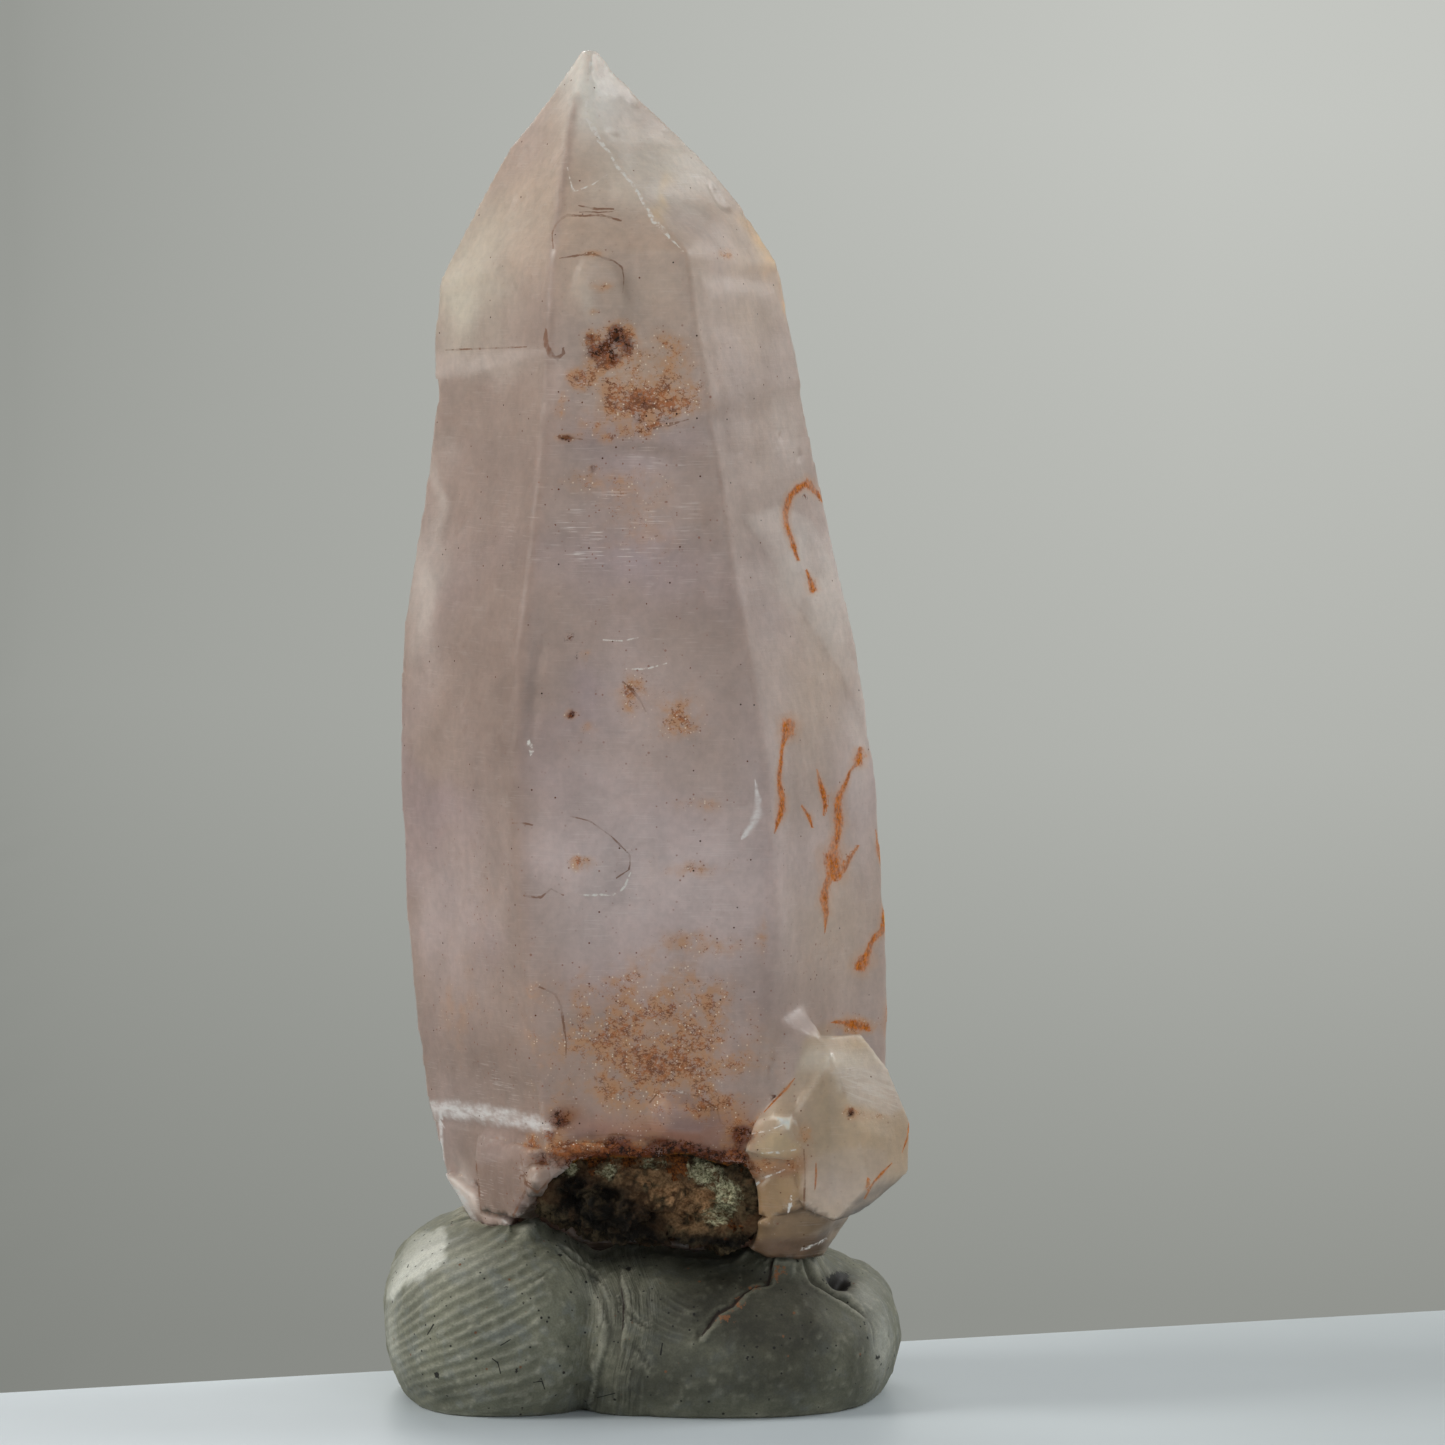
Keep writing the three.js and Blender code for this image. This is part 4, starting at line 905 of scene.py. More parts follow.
def rusted(s, base):
    """A colour with rust, dirt and stains over it, how marked a place is by them, and how much of its gloss
    they leave."""
    # On the undersides near the crust the dirt is painted shade, darkened by the film and soot tones
    dirt_and_shade = s.attribute("dirt_and_shade")
    rust = s.product(s.attribute("rust"), s.uneven(1.0, 0.36, 0.62, 0.45, 1.1))
    film = s.product(s.step(rust, 0.06, 0.56, 0.0, 0.8), s.uneven(0.4, 0.36, 0.58, 0.3, 1.0, roughness=0.7))
    base = s.mix(film, base, s.mix(s.step(dirt_and_shade, 0.04, 0.35), *FILM_TONES))

    winding = s.product(s.network(rust, (0.26, 0.26, 0.18), 0.06), s.flecks(rust, 0.34, 0.62, 0.3, 0.08))
    flecks = s.largest(s.flecks(rust, (0.14, 0.14, 0.09), 0.76, 0.27, 0.03), winding)
    base = s.mix(s.product(flecks, 0.82), base, s.mix(s.uneven(0.22, 0.35, 0.65), *FLECK_TONES))
    stray = s.product(s.largest(s.grains(0.05, 0.12, 0.38), s.grains(0.022, 0.2, 0.3)),
                      s.step(s.attribute("rust"), 0.02, 0.14, 0.15, 0.8))
    base = s.mix(stray, base, STRAY_BROWN)

    crusted = s.largest(s.flecks(dirt_and_shade, (0.17, 0.17, 0.14), 0.76, 0.42, 0.03), s.veins(0.3, 0.05))
    soot = s.largest(s.grains(0.008, 0.12, 0.34), s.product(crusted, s.step(dirt_and_shade, 0.1, 0.4)))
    base = s.mix(soot, base, s.mix(s.uneven(0.2, 0.42, 0.58), *SOOT_TONES))
    brown = s.product(s.stroke("brown_line", 1.4, 0.2), s.uneven(0.5, 0.4, 0.56, 0.25, 0.8))
    base = s.mix(brown, base, LINE_BROWN)

    stain_share = s.stroke_share("rust_stroke", 0.7, 0.14)
    base = s.mix(s.product(s.step(stain_share, 2.6, 0.8), 0.35), base, HALO_TAN)
    stain = s.step(stain_share, 1.3, 0.4)
    crumbly = s.product(s.uneven(0.1, 0.34, 0.52, 0.6, 1.0, 4.0, 0.7), s.uneven(0.6, 0.38, 0.58, 0.6, 1.0))
    orange = s.mix(s.uneven(0.16, 0.36, 0.64, detail=4.0, roughness=0.65), *STROKE_TONES)
    base = s.mix(s.product(stain, crumbly), base, orange)
    # Painted highlights: sparkles among the rust grains
    sparkle = s.product(s.step(rust, 0.04, 0.4), s.grains(0.12, 0.1, 0.34), s.step(dirt_and_shade, 0.3, 0.05))
    base = s.mix(sparkle, base, SPARKLE_WHITE)

    marks = s.largest(stain, flecks, soot)
    gloss = s.step(s.largest(marks, film, s.step(dirt_and_shade, 0.05, 0.4)), 0.1, 0.9, 0.5, 0.1)
    return base, marks, gloss


def crystal_material():
    """Milky quartz that lets some light straight through, under its rust and dirt."""
    s = Shader("milky_amethyst")
    base, marks, gloss = rusted(s, quartz_colour(s))
    polish = s.uneven(0.9, 0.3, 0.7, 0.34, 0.54, 4.0, 0.6)
    roughness = s.math("ADD", polish, s.product(marks, 0.25), clamp=True)
    growth = s.bump(s.noise((3.0, 3.0, 0.14), 3.0, 0.7), 0.3, 0.025)
    grit = s.bump(s.noise(0.22, 5.0, 0.66), 0.45, 0.03, growth)
    s.finish(Base_Color=base, Roughness=roughness, Normal=grit, Specular_IOR_Level=gloss, IOR=QUARTZ_IOR,
             Transmission_Weight=CLEAR_SHARE, Subsurface_Weight=MILKY_SHARE, Subsurface_Radius=MILKY_REACH,
             Subsurface_Scale=MILKY_SCALE)
    volume = s.add("ShaderNodeVolumeAbsorption", {"Color": ABSORPTION_TONE, "Density": ABSORPTION_DENSITY})
    s.tree.links.new(volume.outputs[0], s.output.inputs["Volume"])
    return s.material


def make_crystal(crust_tree):
    piece = remeshed("amethyst_point", "crystal", SMALL_FORMS, mode="SHARP", octree_depth=CRYSTAL_DEPTH,
                     scale=CRYSTAL_SCALE, sharpness=1.0)
    skin = Skin(piece)
    # How sharp each point still is, where the material paints a highlight
    skin.keep("edge", crystal_skin(skin))
    crystal_fields(skin, crust_tree)
    piece.data.materials.append(crystal_material())
    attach(piece, "root")
    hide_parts("amethyst_point")
    return skin


# The matrix crust

CRUST_CELL = 0.09 * MM  # how fine its mesh is
CRUST_STAIN = 1.1 * MM  # how far its rust has crept over the crystal
CRUST_RIM = (1184, 1158)  # it is thin below the first of these photo rows and thick above the second
# What its front is made of: centre and half sizes in photo pixels, and strength
GREEN_PATCHES = [
    ((570, 1168), (10, 9), 1.5), ((607, 1172), (15, 11), 1.1), ((654, 1163), (17, 9), 1.0),
    ((702, 1168), (18, 13), 1.4), ((712, 1180), (13, 9), 1.1), ((728, 1198), (15, 17), 1.5),
    ((714, 1217), (15, 9), 1.3), ((636, 1224), (10, 6), 0.4), ((650, 1182), (12, 8), 0.4),
]
PINK_PATCHES = [
    ((676, 1208), (44, 22), 1.3), ((640, 1190), (24, 14), 0.9), ((612, 1172), (20, 12), 0.6),
    ((700, 1196), (26, 14), 0.6), ((656, 1166), (22, 10), 0.7),
]
BROWN_PATCHES = [
    ((678, 1169), (11, 15), 1.3), ((736, 1226), (11, 8), 0.9), ((590, 1160), (26, 6), 0.7),
    ((592, 1172), (6, 10), 0.8), ((638, 1158), (70, 5), 0.6), ((744, 1176), (10, 14), 0.5),
    ((726, 1240), (16, 5), 0.9), ((628, 1164), (10, 8), 0.7),
]
# Black minerals, the dark line under the crystal, and painted shadow at the lower left and along the bottom
# edge
BLACK_AND_SHADOW_PATCHES = [
    ((590, 1202), (32, 22), 1.6), ((636, 1224), (24, 16), 1.4), ((612, 1218), (44, 16), 1.4),
    ((572, 1186), (14, 12), 0.9), ((690, 1241), (64, 6), 1.2), ((740, 1244), (16, 6), 0.8),
    ((668, 1154), (80, 3), 0.5), ((628, 1190), (14, 8), 0.5), ((728, 1172), (12, 8), 0.4),
    ((612, 1166), (6, 4), 0.3),
]

# Colours of the rock and its minerals, as light values
ROCK_TONES = (colour(32, 25, 14), colour(116, 98, 70))
ROCK_BROWN = colour(98, 66, 42)
PINK_TONES = (colour(136, 100, 66), colour(216, 170, 124))
GREEN_TONES = (colour(118, 114, 80), colour(232, 226, 186))
BROWN_TONES = (colour(40, 22, 12), colour(146, 84, 34))
# Black minerals, and painted shadow
BLACK_AND_SHADOW_TONE = colour(12, 9, 5)
ROCK_RUST = colour(132, 78, 42)


def crust_material():
    """Dark crumbly rock with green, pinkish, brown and black minerals, and painted shadow at its lower left
    and bottom edge.
    """
    s = Shader("matrix_rock")
    grit = s.noise(0.3, 6.0, 0.74)
    crumbs = s.noise(0.11, 4.0, 0.7)
    base = s.mix(s.step(grit, 0.36, 0.64), *ROCK_TONES)
    base = s.mix(s.uneven(1.1, 0.45, 0.6, 0.0, 0.6), base, ROCK_BROWN)
    pink = s.product(s.attribute("pink"), s.uneven(0.5, 0.36, 0.56, detail=5.0))
    base = s.mix(pink, base, s.mix(s.step(crumbs, 0.3, 0.7), *PINK_TONES))
    green = s.product(s.flecks(s.attribute("green"), 0.36, 0.71, 0.36, 0.2),
                      s.step(grit, 0.32, 0.48, 0.5, 1.0))
    base = s.mix(green, base, s.mix(s.step(crumbs, 0.38, 0.62), *GREEN_TONES))
    brown = s.flecks(s.attribute("brown"), 0.34, 0.7, 0.32, 0.06)
    base = s.mix(brown, base, s.mix(s.step(crumbs, 0.35, 0.65), *BROWN_TONES))
    # Black minerals, and painted shadow at the lower left and bottom edge
    black_and_shadow = s.product(s.attribute("black_and_shadow"), s.uneven(0.5, 0.3, 0.55, 0.5, 1.0, 5.0), 0.97)
    base = s.mix(black_and_shadow, base, BLACK_AND_SHADOW_TONE)
    base = s.mix(s.flecks(0.16, 0.16), base, ROCK_RUST)
    normal = s.bump(grit, 1.0, 0.2, s.bump(crumbs, 1.0, 0.1))
    s.finish(Base_Color=base, Roughness=s.step(grit, 0.3, 0.7, 1.0, 0.75), Normal=normal,
             Specular_IOR_Level=0.2)
    return s.material


def make_crust():
    piece = remeshed("matrix_crust", "crust", mode="VOXEL", voxel_size=CRUST_CELL)
    skin = Skin(piece)
    skin.smooth(3)
    points, normals = skin.points, skin.normals
    front = smoothstep(-0.2, -0.8, normals[:, 1])
    sides = (1 - front) * smoothstep(-0.9, -0.2, normals[:, 2])
    knobs = 0.38 * fractal(points, 1.2 * MM, 50, 5, 0.7)
    ledges = -0.5 * smoothstep(0.05, 0.5, noise(points, np.array([2.2, 2.2, 0.9]) * MM, 58)) * front
    cracks = -0.16 * smoothstep(0.16, 0.0, np.abs(noise(points, 0.8 * MM, 57)))
    skin.raise_by((0.46 * sides + knobs + ledges + cracks - 0.06) * MM)
    seen = smoothstep(-0.2, 0.3, skin.facing)
    patches = {"green": GREEN_PATCHES, "pink": PINK_PATCHES, "brown": BROWN_PATCHES, "black_and_shadow": BLACK_AND_SHADOW_PATCHES}
    for name, blobs in patches.items():
        skin.keep(name, np.clip(seen * spots(skin.pixels, blobs), 0, 1))
    piece.data.materials.append(crust_material())
    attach(piece, "root")
    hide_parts("matrix_crust")
    return skin


# The putty

PUTTY_CELL = 0.118 * MM  # how fine its mesh is
# Thumb print on the left: its middle and half sizes in photo pixels, the spacing of its ridges down the
# picture, how steeply they rise to the right, and how quickly they turn down at the left end
PRINT_MIDDLE = (474, 1316)
PRINT_HALF = (100, 104)
PRINT_SPACING = 12.5
PRINT_RISE = 0.5
PRINT_FLATTER = 0.28  # how much less steep they are at the bottom
PRINT_BOTTOM = (1310, 1400)  # the photo rows over which they become so
PRINT_BEND = 0.008
PRINT_BEND_START = 434
PRINT_END = (566, 526)  # the columns where they run out on the right and where they are full
PRINT_BARE = ((566, 1346), (32, 44), 0.9)  # the smooth lobe, which has none
# Arcs of a second print: the point that they run round, the place that shows them, and their spacing
ARC_EYE = (704, 1258)
ARC_MIDDLE = (664, 1318)
ARC_HALF = (44, 36)
ARC_SPACING = 6.5
ARC_START = (618, 640)  # the columns over which they begin
PRINTS_APART = 600  # the column that parts the two prints
# The line along which the left lobe was folded over, and along which the putty flowed beside it
LOBE_EDGE = [
    (566, 1228, 6), (577, 1252, 6), (588, 1275, 6), (599, 1300, 6), (606, 1328, 6), (603, 1350, 6),
    (595, 1374, 6), (590, 1402, 6),
]
FLOW_LINE = [
    (584, 1222, 3), (600, 1248, 3), (611, 1272, 3), (620, 1296, 3), (622, 1322, 3), (616, 1350, 3),
    (610, 1376, 3), (608, 1404, 3),
]
CREASE_FULL = 0.09  # half width from which a crease has its full depth, in millimetres
CREASE_REACH = 3.0  # how far from a crease or a crack the putty rises or sinks, in millimetres
FLOW_REACH = 2.0  # how far from its line the flow shows, in millimetres
FLOW_PITCH = (7.0, 0.5)  # how many folds there are to a millimetre, across the flow and along it
CLOSE_OVERLAP = 0.12  # how far putty that closes a gap goes into the other piece, as a share of the gap
PUTTY_CREASES = [
    [(558, 1246, 2), (572, 1258, 4), (590, 1270, 4), (604, 1284, 2)],
    [(521, 1290, 1), (540, 1277, 2.5), (556, 1264, 1)],
    [(798, 1270, 3), (815, 1283, 5), (834, 1291, 6), (848, 1299, 7), (857, 1306, 6), (868, 1316, 2)],
    [(868, 1312, 1), (874, 1330, 2.5), (876, 1352, 1)], [(664, 1249, 2), (688, 1241, 4), (716, 1238, 3)],
    [(618, 1296, 3), (628, 1312, 4), (642, 1324, 3), (656, 1330, 2)],
    [(626, 1340, 2), (640, 1352, 3), (652, 1372, 2)],
]
PUTTY_CRACKS = [
    [(784, 1266, 2), (771, 1273, 3), (768, 1285, 3), (754, 1287, 3), (744, 1293, 3), (739, 1297, 4),
     (733, 1305, 4), (718, 1312, 5), (710, 1324, 4), (704, 1332, 2)],
    [(621, 1290, 1.6), (622, 1306, 2.6), (621, 1328, 1.8)],
]
PUTTY_FIBRES = [
    [(494, 1360, 1.1), (498, 1363, 1.4), (500, 1371, 1)], [(503, 1344, 1.1), (508, 1341, 1)],
    [(536, 1382, 1), (542, 1381, 1.4), (544, 1387, 1)], [(429, 1332, 1.4), (432, 1327, 1.6)],
    [(661, 1352, 2), (662, 1346, 1.4)], [(600, 1397, 1), (612, 1394, 1.3)],
]
PUTTY_RUST = [
    ((776, 1276), (14, 9), 0.85), ((754, 1288), (14, 5), 0.75), ((739, 1302), (9, 10), 0.85),
    ((724, 1318), (13, 9), 0.9), ((781, 1267), (9, 5), 0.5), ((678, 1283), (3, 3), 0.9),
    ((727, 1345), (3, 3), 0.7), ((679, 1362), (5, 4), 0.6), ((628, 1338), (8, 6), 0.6),
    ((601, 1252), (6, 5), 0.45), ((867, 1322), (8, 9), 0.35), ((606, 1370), (6, 16), 0.3),
]
# Dark specks of dust, and painted shade in the hole on the right
PUTTY_SPECKS_AND_SHADE = [
    ((437, 1375), (3, 4), 1.2), ((560, 1255), (2.5, 2.5), 1), ((628, 1268), (4, 4), 0.9),
    ((506, 1288), (2.5, 3), 0.9), ((523, 1304), (2, 3), 0.7), ((478, 1385), (2.5, 2.5), 0.9),
    ((516, 1371), (2, 3), 0.8), ((758, 1347), (6, 5), 0.4), ((747, 1358), (4, 3), 0.9),
    ((843, 1276), (10, 8), 2.2), ((826, 1279), (10, 5), 0.4), ((821, 1351), (4, 3), 0.5),
    ((878, 1358), (3, 4), 0.9), ((773, 1356), (3, 2), 0.5), ((693, 1243), (4, 3), 0.8),
    ((852, 1366), (3, 2), 0.6), ((690, 1376), (3, 3), 0.6), ((570, 1376), (3, 3), 0.5),
]
# Where the putty is paler or darker: centre and half sizes in photo pixels, and strength
# Mostly painted light on its left edge and right rim, over a few paler places
PUTTY_PALE_AND_LIT = [
    ((408, 1262), (30, 34), 0.15), ((386, 1320), (9, 40), 0.5), ((388, 1366), (14, 26), 0.4),
    ((570, 1228), (14, 12), 0.6), ((866, 1292), (14, 18), 0.55), ((806, 1330), (34, 20), 0.16),
    ((882, 1346), (12, 34), 0.6), ((590, 1290), (14, 14), 0.2), ((468, 1262), (30, 20), 0.2),
]
# Painted shadow of the crystal, and painted shade in the hole and along the bottom
PUTTY_DARK = [
    ((710, 1295), (84, 54), 0.95), ((790, 1330), (60, 60), 0.95), ((640, 1370), (60, 50), 0.5),
    ((740, 1390), (130, 26), 0.5), ((640, 1246), (50, 16), 0.7), ((615, 1300), (18, 60), 0.3),
    ((560, 1350), (36, 50), 0.1), ((500, 1390), (120, 14), 0.3), ((860, 1350), (20, 40), 0.4),
    ((830, 1284), (30, 12), 0.4), ((843, 1276), (11, 8), 1.0),
]
# Painted light on the putty's left edge, as an outline in photo pixels
PUTTY_LIT_EDGE = [(396, 1236), (446, 1228), (446, 1262), (426, 1276), (404, 1286), (394, 1300), (380, 1300)]
# The deep hole on the right: centre and half sizes in photo pixels, share, and depth in millimetres
PIT = ((843, 1277), (10, 8), 1)
PIT_DEPTH = 0.8

# Colours of the putty and of what lies on it, as light values
PUTTY_TONES = (colour(102, 103, 87), colour(124, 124, 106))
PUTTY_BLUISH = colour(122, 128, 128)
PUTTY_OLIVE = colour(108, 106, 88)
# Painted light on the left edge and right rim, and a few paler places
PALE_AND_LIT_TONE = colour(200, 200, 189)
# Painted shadow
SHADE_TONES = (colour(47, 45, 34), colour(67, 65, 52))
CREST_HIGHLIGHT_TONES = (colour(196, 192, 174), colour(120, 118, 100))  # painted highlights on crests, ridges and folds, out of the painted shadow and in it
# Painted shade in hollows, troughs and between folds, out of the painted shadow and in it
HOLLOW_SHADE_TONES = (colour(74, 72, 58), colour(40, 38, 30))
STAIN_BROWN = colour(132, 84, 50)
CRACK_BROWN = colour(40, 28, 20)
# Dust and fibres, and painted shade in the hole
DUST_AND_SHADE_BLACK = colour(18, 15, 11)
GRIT_BROWN = colour(112, 76, 52)


def print_relief(s):
    """The ridges of the prints and the troughs between them."""
    print_share, turns, arc_share = s.parts("print")
    wave = s.math("SINE", s.math("MULTIPLY", turns, 2 * math.pi))
    patchy = s.uneven((0.7, 0.7, 0.3), 0.36, 0.56, 0.3, 1.0, 4.0, 0.7)
    shown = s.product(s.largest(print_share, arc_share), patchy)
    ridge = s.product(s.math("POWER", s.step(wave, -1.0, 1.0), 4.0), shown)
    trough = s.product(s.math("POWER", s.step(wave, 0.6, -1.0), 3.0), shown)
    return ridge, trough


def flow_relief(s):
    """The fine folds of the putty that flowed, raised above 0 and sunk below it."""
    side, along, share = s.parts("flow")
    across, down = (s.product(length, pitch) for length, pitch in zip((side, along), FLOW_PITCH))
    place = s.add("ShaderNodeCombineXYZ", {0: across, 1: down}).outputs[0]
    folds = s.add("ShaderNodeTexNoise", {"Vector": place, "Scale": 1.0, "Detail": 4.0,
                                         "Roughness": 0.6, "Distortion": 0.3}).outputs["Fac"]
    return s.product(s.math("SUBTRACT", folds, 0.5), share)


def putty_material():
    """Dull grey-green putty, with the dirt, dust and fibres that stick to it, and painted highlights, shade
    and shadow.
    """
    s = Shader("grey_putty")
    mottle = s.noise(1.6, 5.0, 0.6)
    mottled = s.step(mottle, 0.35, 0.65)
    base = s.mix(mottled, *PUTTY_TONES)
    base = s.mix(s.uneven(0.7, 0.5, 0.66, 0.0, 0.35), base, PUTTY_BLUISH)
    base = s.mix(s.uneven(0.2, 0.45, 0.7, 0.0, 0.4, 4.0, 0.7), base, PUTTY_OLIVE)
    # Painted light on the left edge and right rim, over a few paler places
    base = s.mix(s.attribute("pale_and_lit"), base, PALE_AND_LIT_TONE)
    # Painted shadow of the crystal, and painted shade in the hole
    shade = s.product(s.attribute("shade"), 0.97)
    base = s.mix(shade, base, s.mix(mottled, *SHADE_TONES))

    ridge, trough = print_relief(s)
    flow = flow_relief(s)
    # Painted highlights on crests, print ridges and folds, and painted shade in hollows and troughs
    raised = s.largest(s.product(s.attribute("raised"), 0.45), s.product(ridge, 0.27),
                       s.step(flow, 0.01, 0.1, 0.0, 0.2))
    base = s.mix(raised, base, s.mix(shade, *CREST_HIGHLIGHT_TONES))
    sunk = s.largest(s.attribute("sunk"), s.step(flow, -0.01, -0.1), s.product(trough, 0.5))
    base = s.mix(s.product(sunk, 0.5), base, s.mix(shade, *HOLLOW_SHADE_TONES))

    rust = s.flecks(s.attribute("rust"), 0.18, 0.78, 0.4, 0.08)
    base = s.mix(s.product(rust, 0.85), base, STAIN_BROWN)
    base = s.mix(s.product(s.stroke("crack", 0.8, 0.2), 0.9), base, CRACK_BROWN)
    # The specks include painted shade in the hole on the right
    specks_and_shade = s.flecks(s.attribute("speck_and_shade"), 0.2, 0.76, 0.5, 0.06)
    dust_and_shade = s.largest(s.grains(0.035, 0.15, 0.36), s.grains(0.025, 0.26, 0.28), specks_and_shade,
                     s.stroke("fibre", 0.7, 0.2))
    base = s.mix(s.product(dust_and_shade, 0.95), base, DUST_AND_SHADE_BLACK)
    base = s.mix(s.grains(0.01, 0.2, 0.34), base, GRIT_BROWN)
    base = s.shaded(base, s.shading(0.14, 0.08, 3.0, 0.7))

    grit = s.bump(s.noise(0.11, 4.0, 0.66), 0.5, 0.03, s.bump(s.noise(0.5, 4.0), 0.4, 0.08))
    flowing = s.bump(flow, 0.6, 0.24, grit)
    normal = s.bump(s.math("SUBTRACT", ridge, trough), 0.5, 0.03, flowing)
    s.finish(Base_Color=base, Roughness=s.step(mottle, 0.3, 0.7, 0.62, 0.8), Normal=normal,
             Specular_IOR_Level=0.4)
    return s.material


def print_ridges(skin, front):
    """How clearly the left print shows at each point, how many ridges on it is, and the same for the arcs."""
    u, v = skin.pixels.T
    drift = 2.6 * noise(skin.points, 2.6 * MM, 70) + 1.0 * noise(skin.points, 0.9 * MM, 71)
    rise = PRINT_RISE - PRINT_FLATTER * smoothstep(*PRINT_BOTTOM, v)
    bend = PRINT_BEND * np.maximum(PRINT_BEND_START - u, 0) ** 2
    turns = (v + rise * (u - PRINT_MIDDLE[0]) - bend + drift) / PRINT_SPACING
    share = np.clip(2.2 * spots(skin.pixels, [(PRINT_MIDDLE, PRINT_HALF, 1)]) - 0.4, 0, 1)
    share *= front * smoothstep(*PRINT_END, u) * (1 - spots(skin.pixels, [PRINT_BARE]))
    arc_turns = (np.hypot(*(skin.pixels - np.array(ARC_EYE)).T) + drift) / ARC_SPACING
    arc_share = front * np.clip(2.0 * spots(skin.pixels, [(ARC_MIDDLE, ARC_HALF, 1)]) - 0.5, 0, 1)
    arc_share *= smoothstep(*ARC_START, u)
    return share, np.where(u < PRINTS_APART, turns, arc_turns), 0.4 * arc_share


def flow_field(skin, front):
    """How far each point is from the line of flow to the side, how far along it, and how clearly it flows."""
    side, reach, _ = stroke_field(skin.pixels, [FLOW_LINE], front > 0, beyond=2 * FLOW_REACH).T
    along = (skin.pixels[:, 1] - FLOW_LINE[0][1]) * PIXEL / MM
    patchy = smoothstep(-0.5, 0.3, noise(skin.points, 1.3 * MM, 78))
    return np.c_[side, along, smoothstep(FLOW_REACH, 0.7, reach) * (0.4 + 0.6 * patchy)]


def close_to(skin, tree, gap, reach):
    """Moves the points that lie within a reach of another piece up to it, and a little into it."""
    moved = skin.points.copy()
    for k, point in enumerate(skin.points):
        spot, _, _, away = tree.find_nearest(Vector(point), reach)
        if spot is None:
            continue
        share = float(smoothstep(reach, gap, np.array(away)))
        moved[k] += (np.array(spot) - point) * share * (1 + CLOSE_OVERLAP * gap / max(away, 0.05 * gap))
    skin.place(moved)


def putty_heights(skin, front, crack, ridges, pit):
    """How far the putty's surface is raised at each point, in millimetres."""
    creases, lobe = (stroke_field(skin.pixels, strokes, front > 0, beyond=CREASE_REACH)
                     for strokes in (PUTTY_CREASES, [LOBE_EDGE]))
    lumps = 0.13 * fractal(skin.points, 2.8 * MM, 60) + 0.035 * fractal(skin.points, 0.6 * MM, 66, 3)
    _, away, half = creases.T
    share = away / half
    depth = np.clip(half / CREASE_FULL, 0, 1.3) ** 2
    folds = depth * (0.06 * smoothstep(4.0, 1.5, share) * smoothstep(0.8, 1.6, share)
                     - 0.2 * smoothstep(2.0, 0.0, share))
    side, away, _ = lobe.T
    lobe_step = np.where(side > 0, -0.12 * smoothstep(3.0, 0.1, away), 0.03 * smoothstep(2.0, 0.2, away))
    lobe_step *= smoothstep(0.0, 0.1, away)
    side, away, half = crack.T
    open_crack = -0.16 * smoothstep(1.8, 0.2, away / half)
    crack_step = 0.1 * np.sign(side) * smoothstep(1.0, 0.1, away) * smoothstep(0.0, 0.1, away)
    prints = 0.008 * np.sin(2 * math.pi * ridges[1]) * np.maximum(ridges[0], ridges[2])
    return lumps + folds + lobe_step + open_crack + crack_step + prints - PIT_DEPTH * pit


def putty_marks(skin, front, pit):
    """Stores where the putty is speckled, stained, pale or dark, with painted light on its edges, painted
    shadow of the crystal and painted shade in the hole.
    """
    lit_edge = inside(skin.pixels + 3 * noise(skin.points, 0.5 * MM, 79)[:, None], PUTTY_LIT_EDGE, 3)
    # The hole on the right is darkened as specks, a painted shade
    marks = {"speck_and_shade": (PUTTY_SPECKS_AND_SHADE, 3 * smoothstep(0.15, 0.4, pit)), "rust": (PUTTY_RUST, 0),
             "pale_and_lit": (PUTTY_PALE_AND_LIT, 0.9 * lit_edge), "shade": (PUTTY_DARK, 0)}
    for name, (blobs, more) in marks.items():
        skin.keep(name, np.clip((spots(skin.pixels, blobs) + more) * front, 0, 1))


def make_putty(crystal_tree):
    piece = remeshed("putty_base", "putty", mode="VOXEL", voxel_size=PUTTY_CELL)
    skin = Skin(piece)
    floor = 1.5 * PUTTY_CELL
    skin.smooth(12, 0.6, smoothstep(floor, 8 * floor, skin.points[:, 2]))
    front = smoothstep(0.0, 0.3, skin.facing)
    crack = stroke_field(skin.pixels, PUTTY_CRACKS, front > 0, beyond=CREASE_REACH)
    ridges = print_ridges(skin, front)
    flow = flow_field(skin, front)
    pit = front * spots(skin.pixels, [PIT])
    heights = putty_heights(skin, front, crack, ridges, pit)
    skin.raise_by(heights * smoothstep(0, 0.6 * MM, skin.points[:, 2]) * MM)
    close_to(skin, crystal_tree, 0.4 * MM, 0.9 * MM)
    crest = skin.spread(skin.crest(), 1)
    # Crests and hollows, where the material paints highlights and shade
    skin.keep("raised", smoothstep(0.01, 0.12, crest))
    skin.keep("sunk", smoothstep(0.01, 0.12, -crest))
    skin.keep("print", np.stack(ridges, axis=1))
    skin.keep("flow", flow)
    skin.keep("crack", crack)
    skin.keep("fibre", stroke_field(skin.pixels, PUTTY_FIBRES, front > 0))
    putty_marks(skin, front, pit)
    piece.data.materials.append(putty_material())
    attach(piece, "root")
    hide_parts("putty_base")


# The surroundings

FLOOR_LINE = [(0, 1393), (1275, 1320)]  # where the pale floor ends, as photo pixels
FLOOR_X = (-34 * MM, 42 * MM)  # the stretch over which the floor's tone changes
# Lighter on the left and darker on the right, a painted shade
FLOOR_TONES = (colour(220, 229, 235), colour(182, 190, 193))
SEAM_HALF = 60 * MM  # how far out to each side that line slants
SWEEP_START = 370 * MM  # far enough back for a camera to pass in front of the backdrop
SWEEP_RADIUS = 30 * MM
WALL_TOP = 420 * MM
STAGE_HALF = 400 * MM
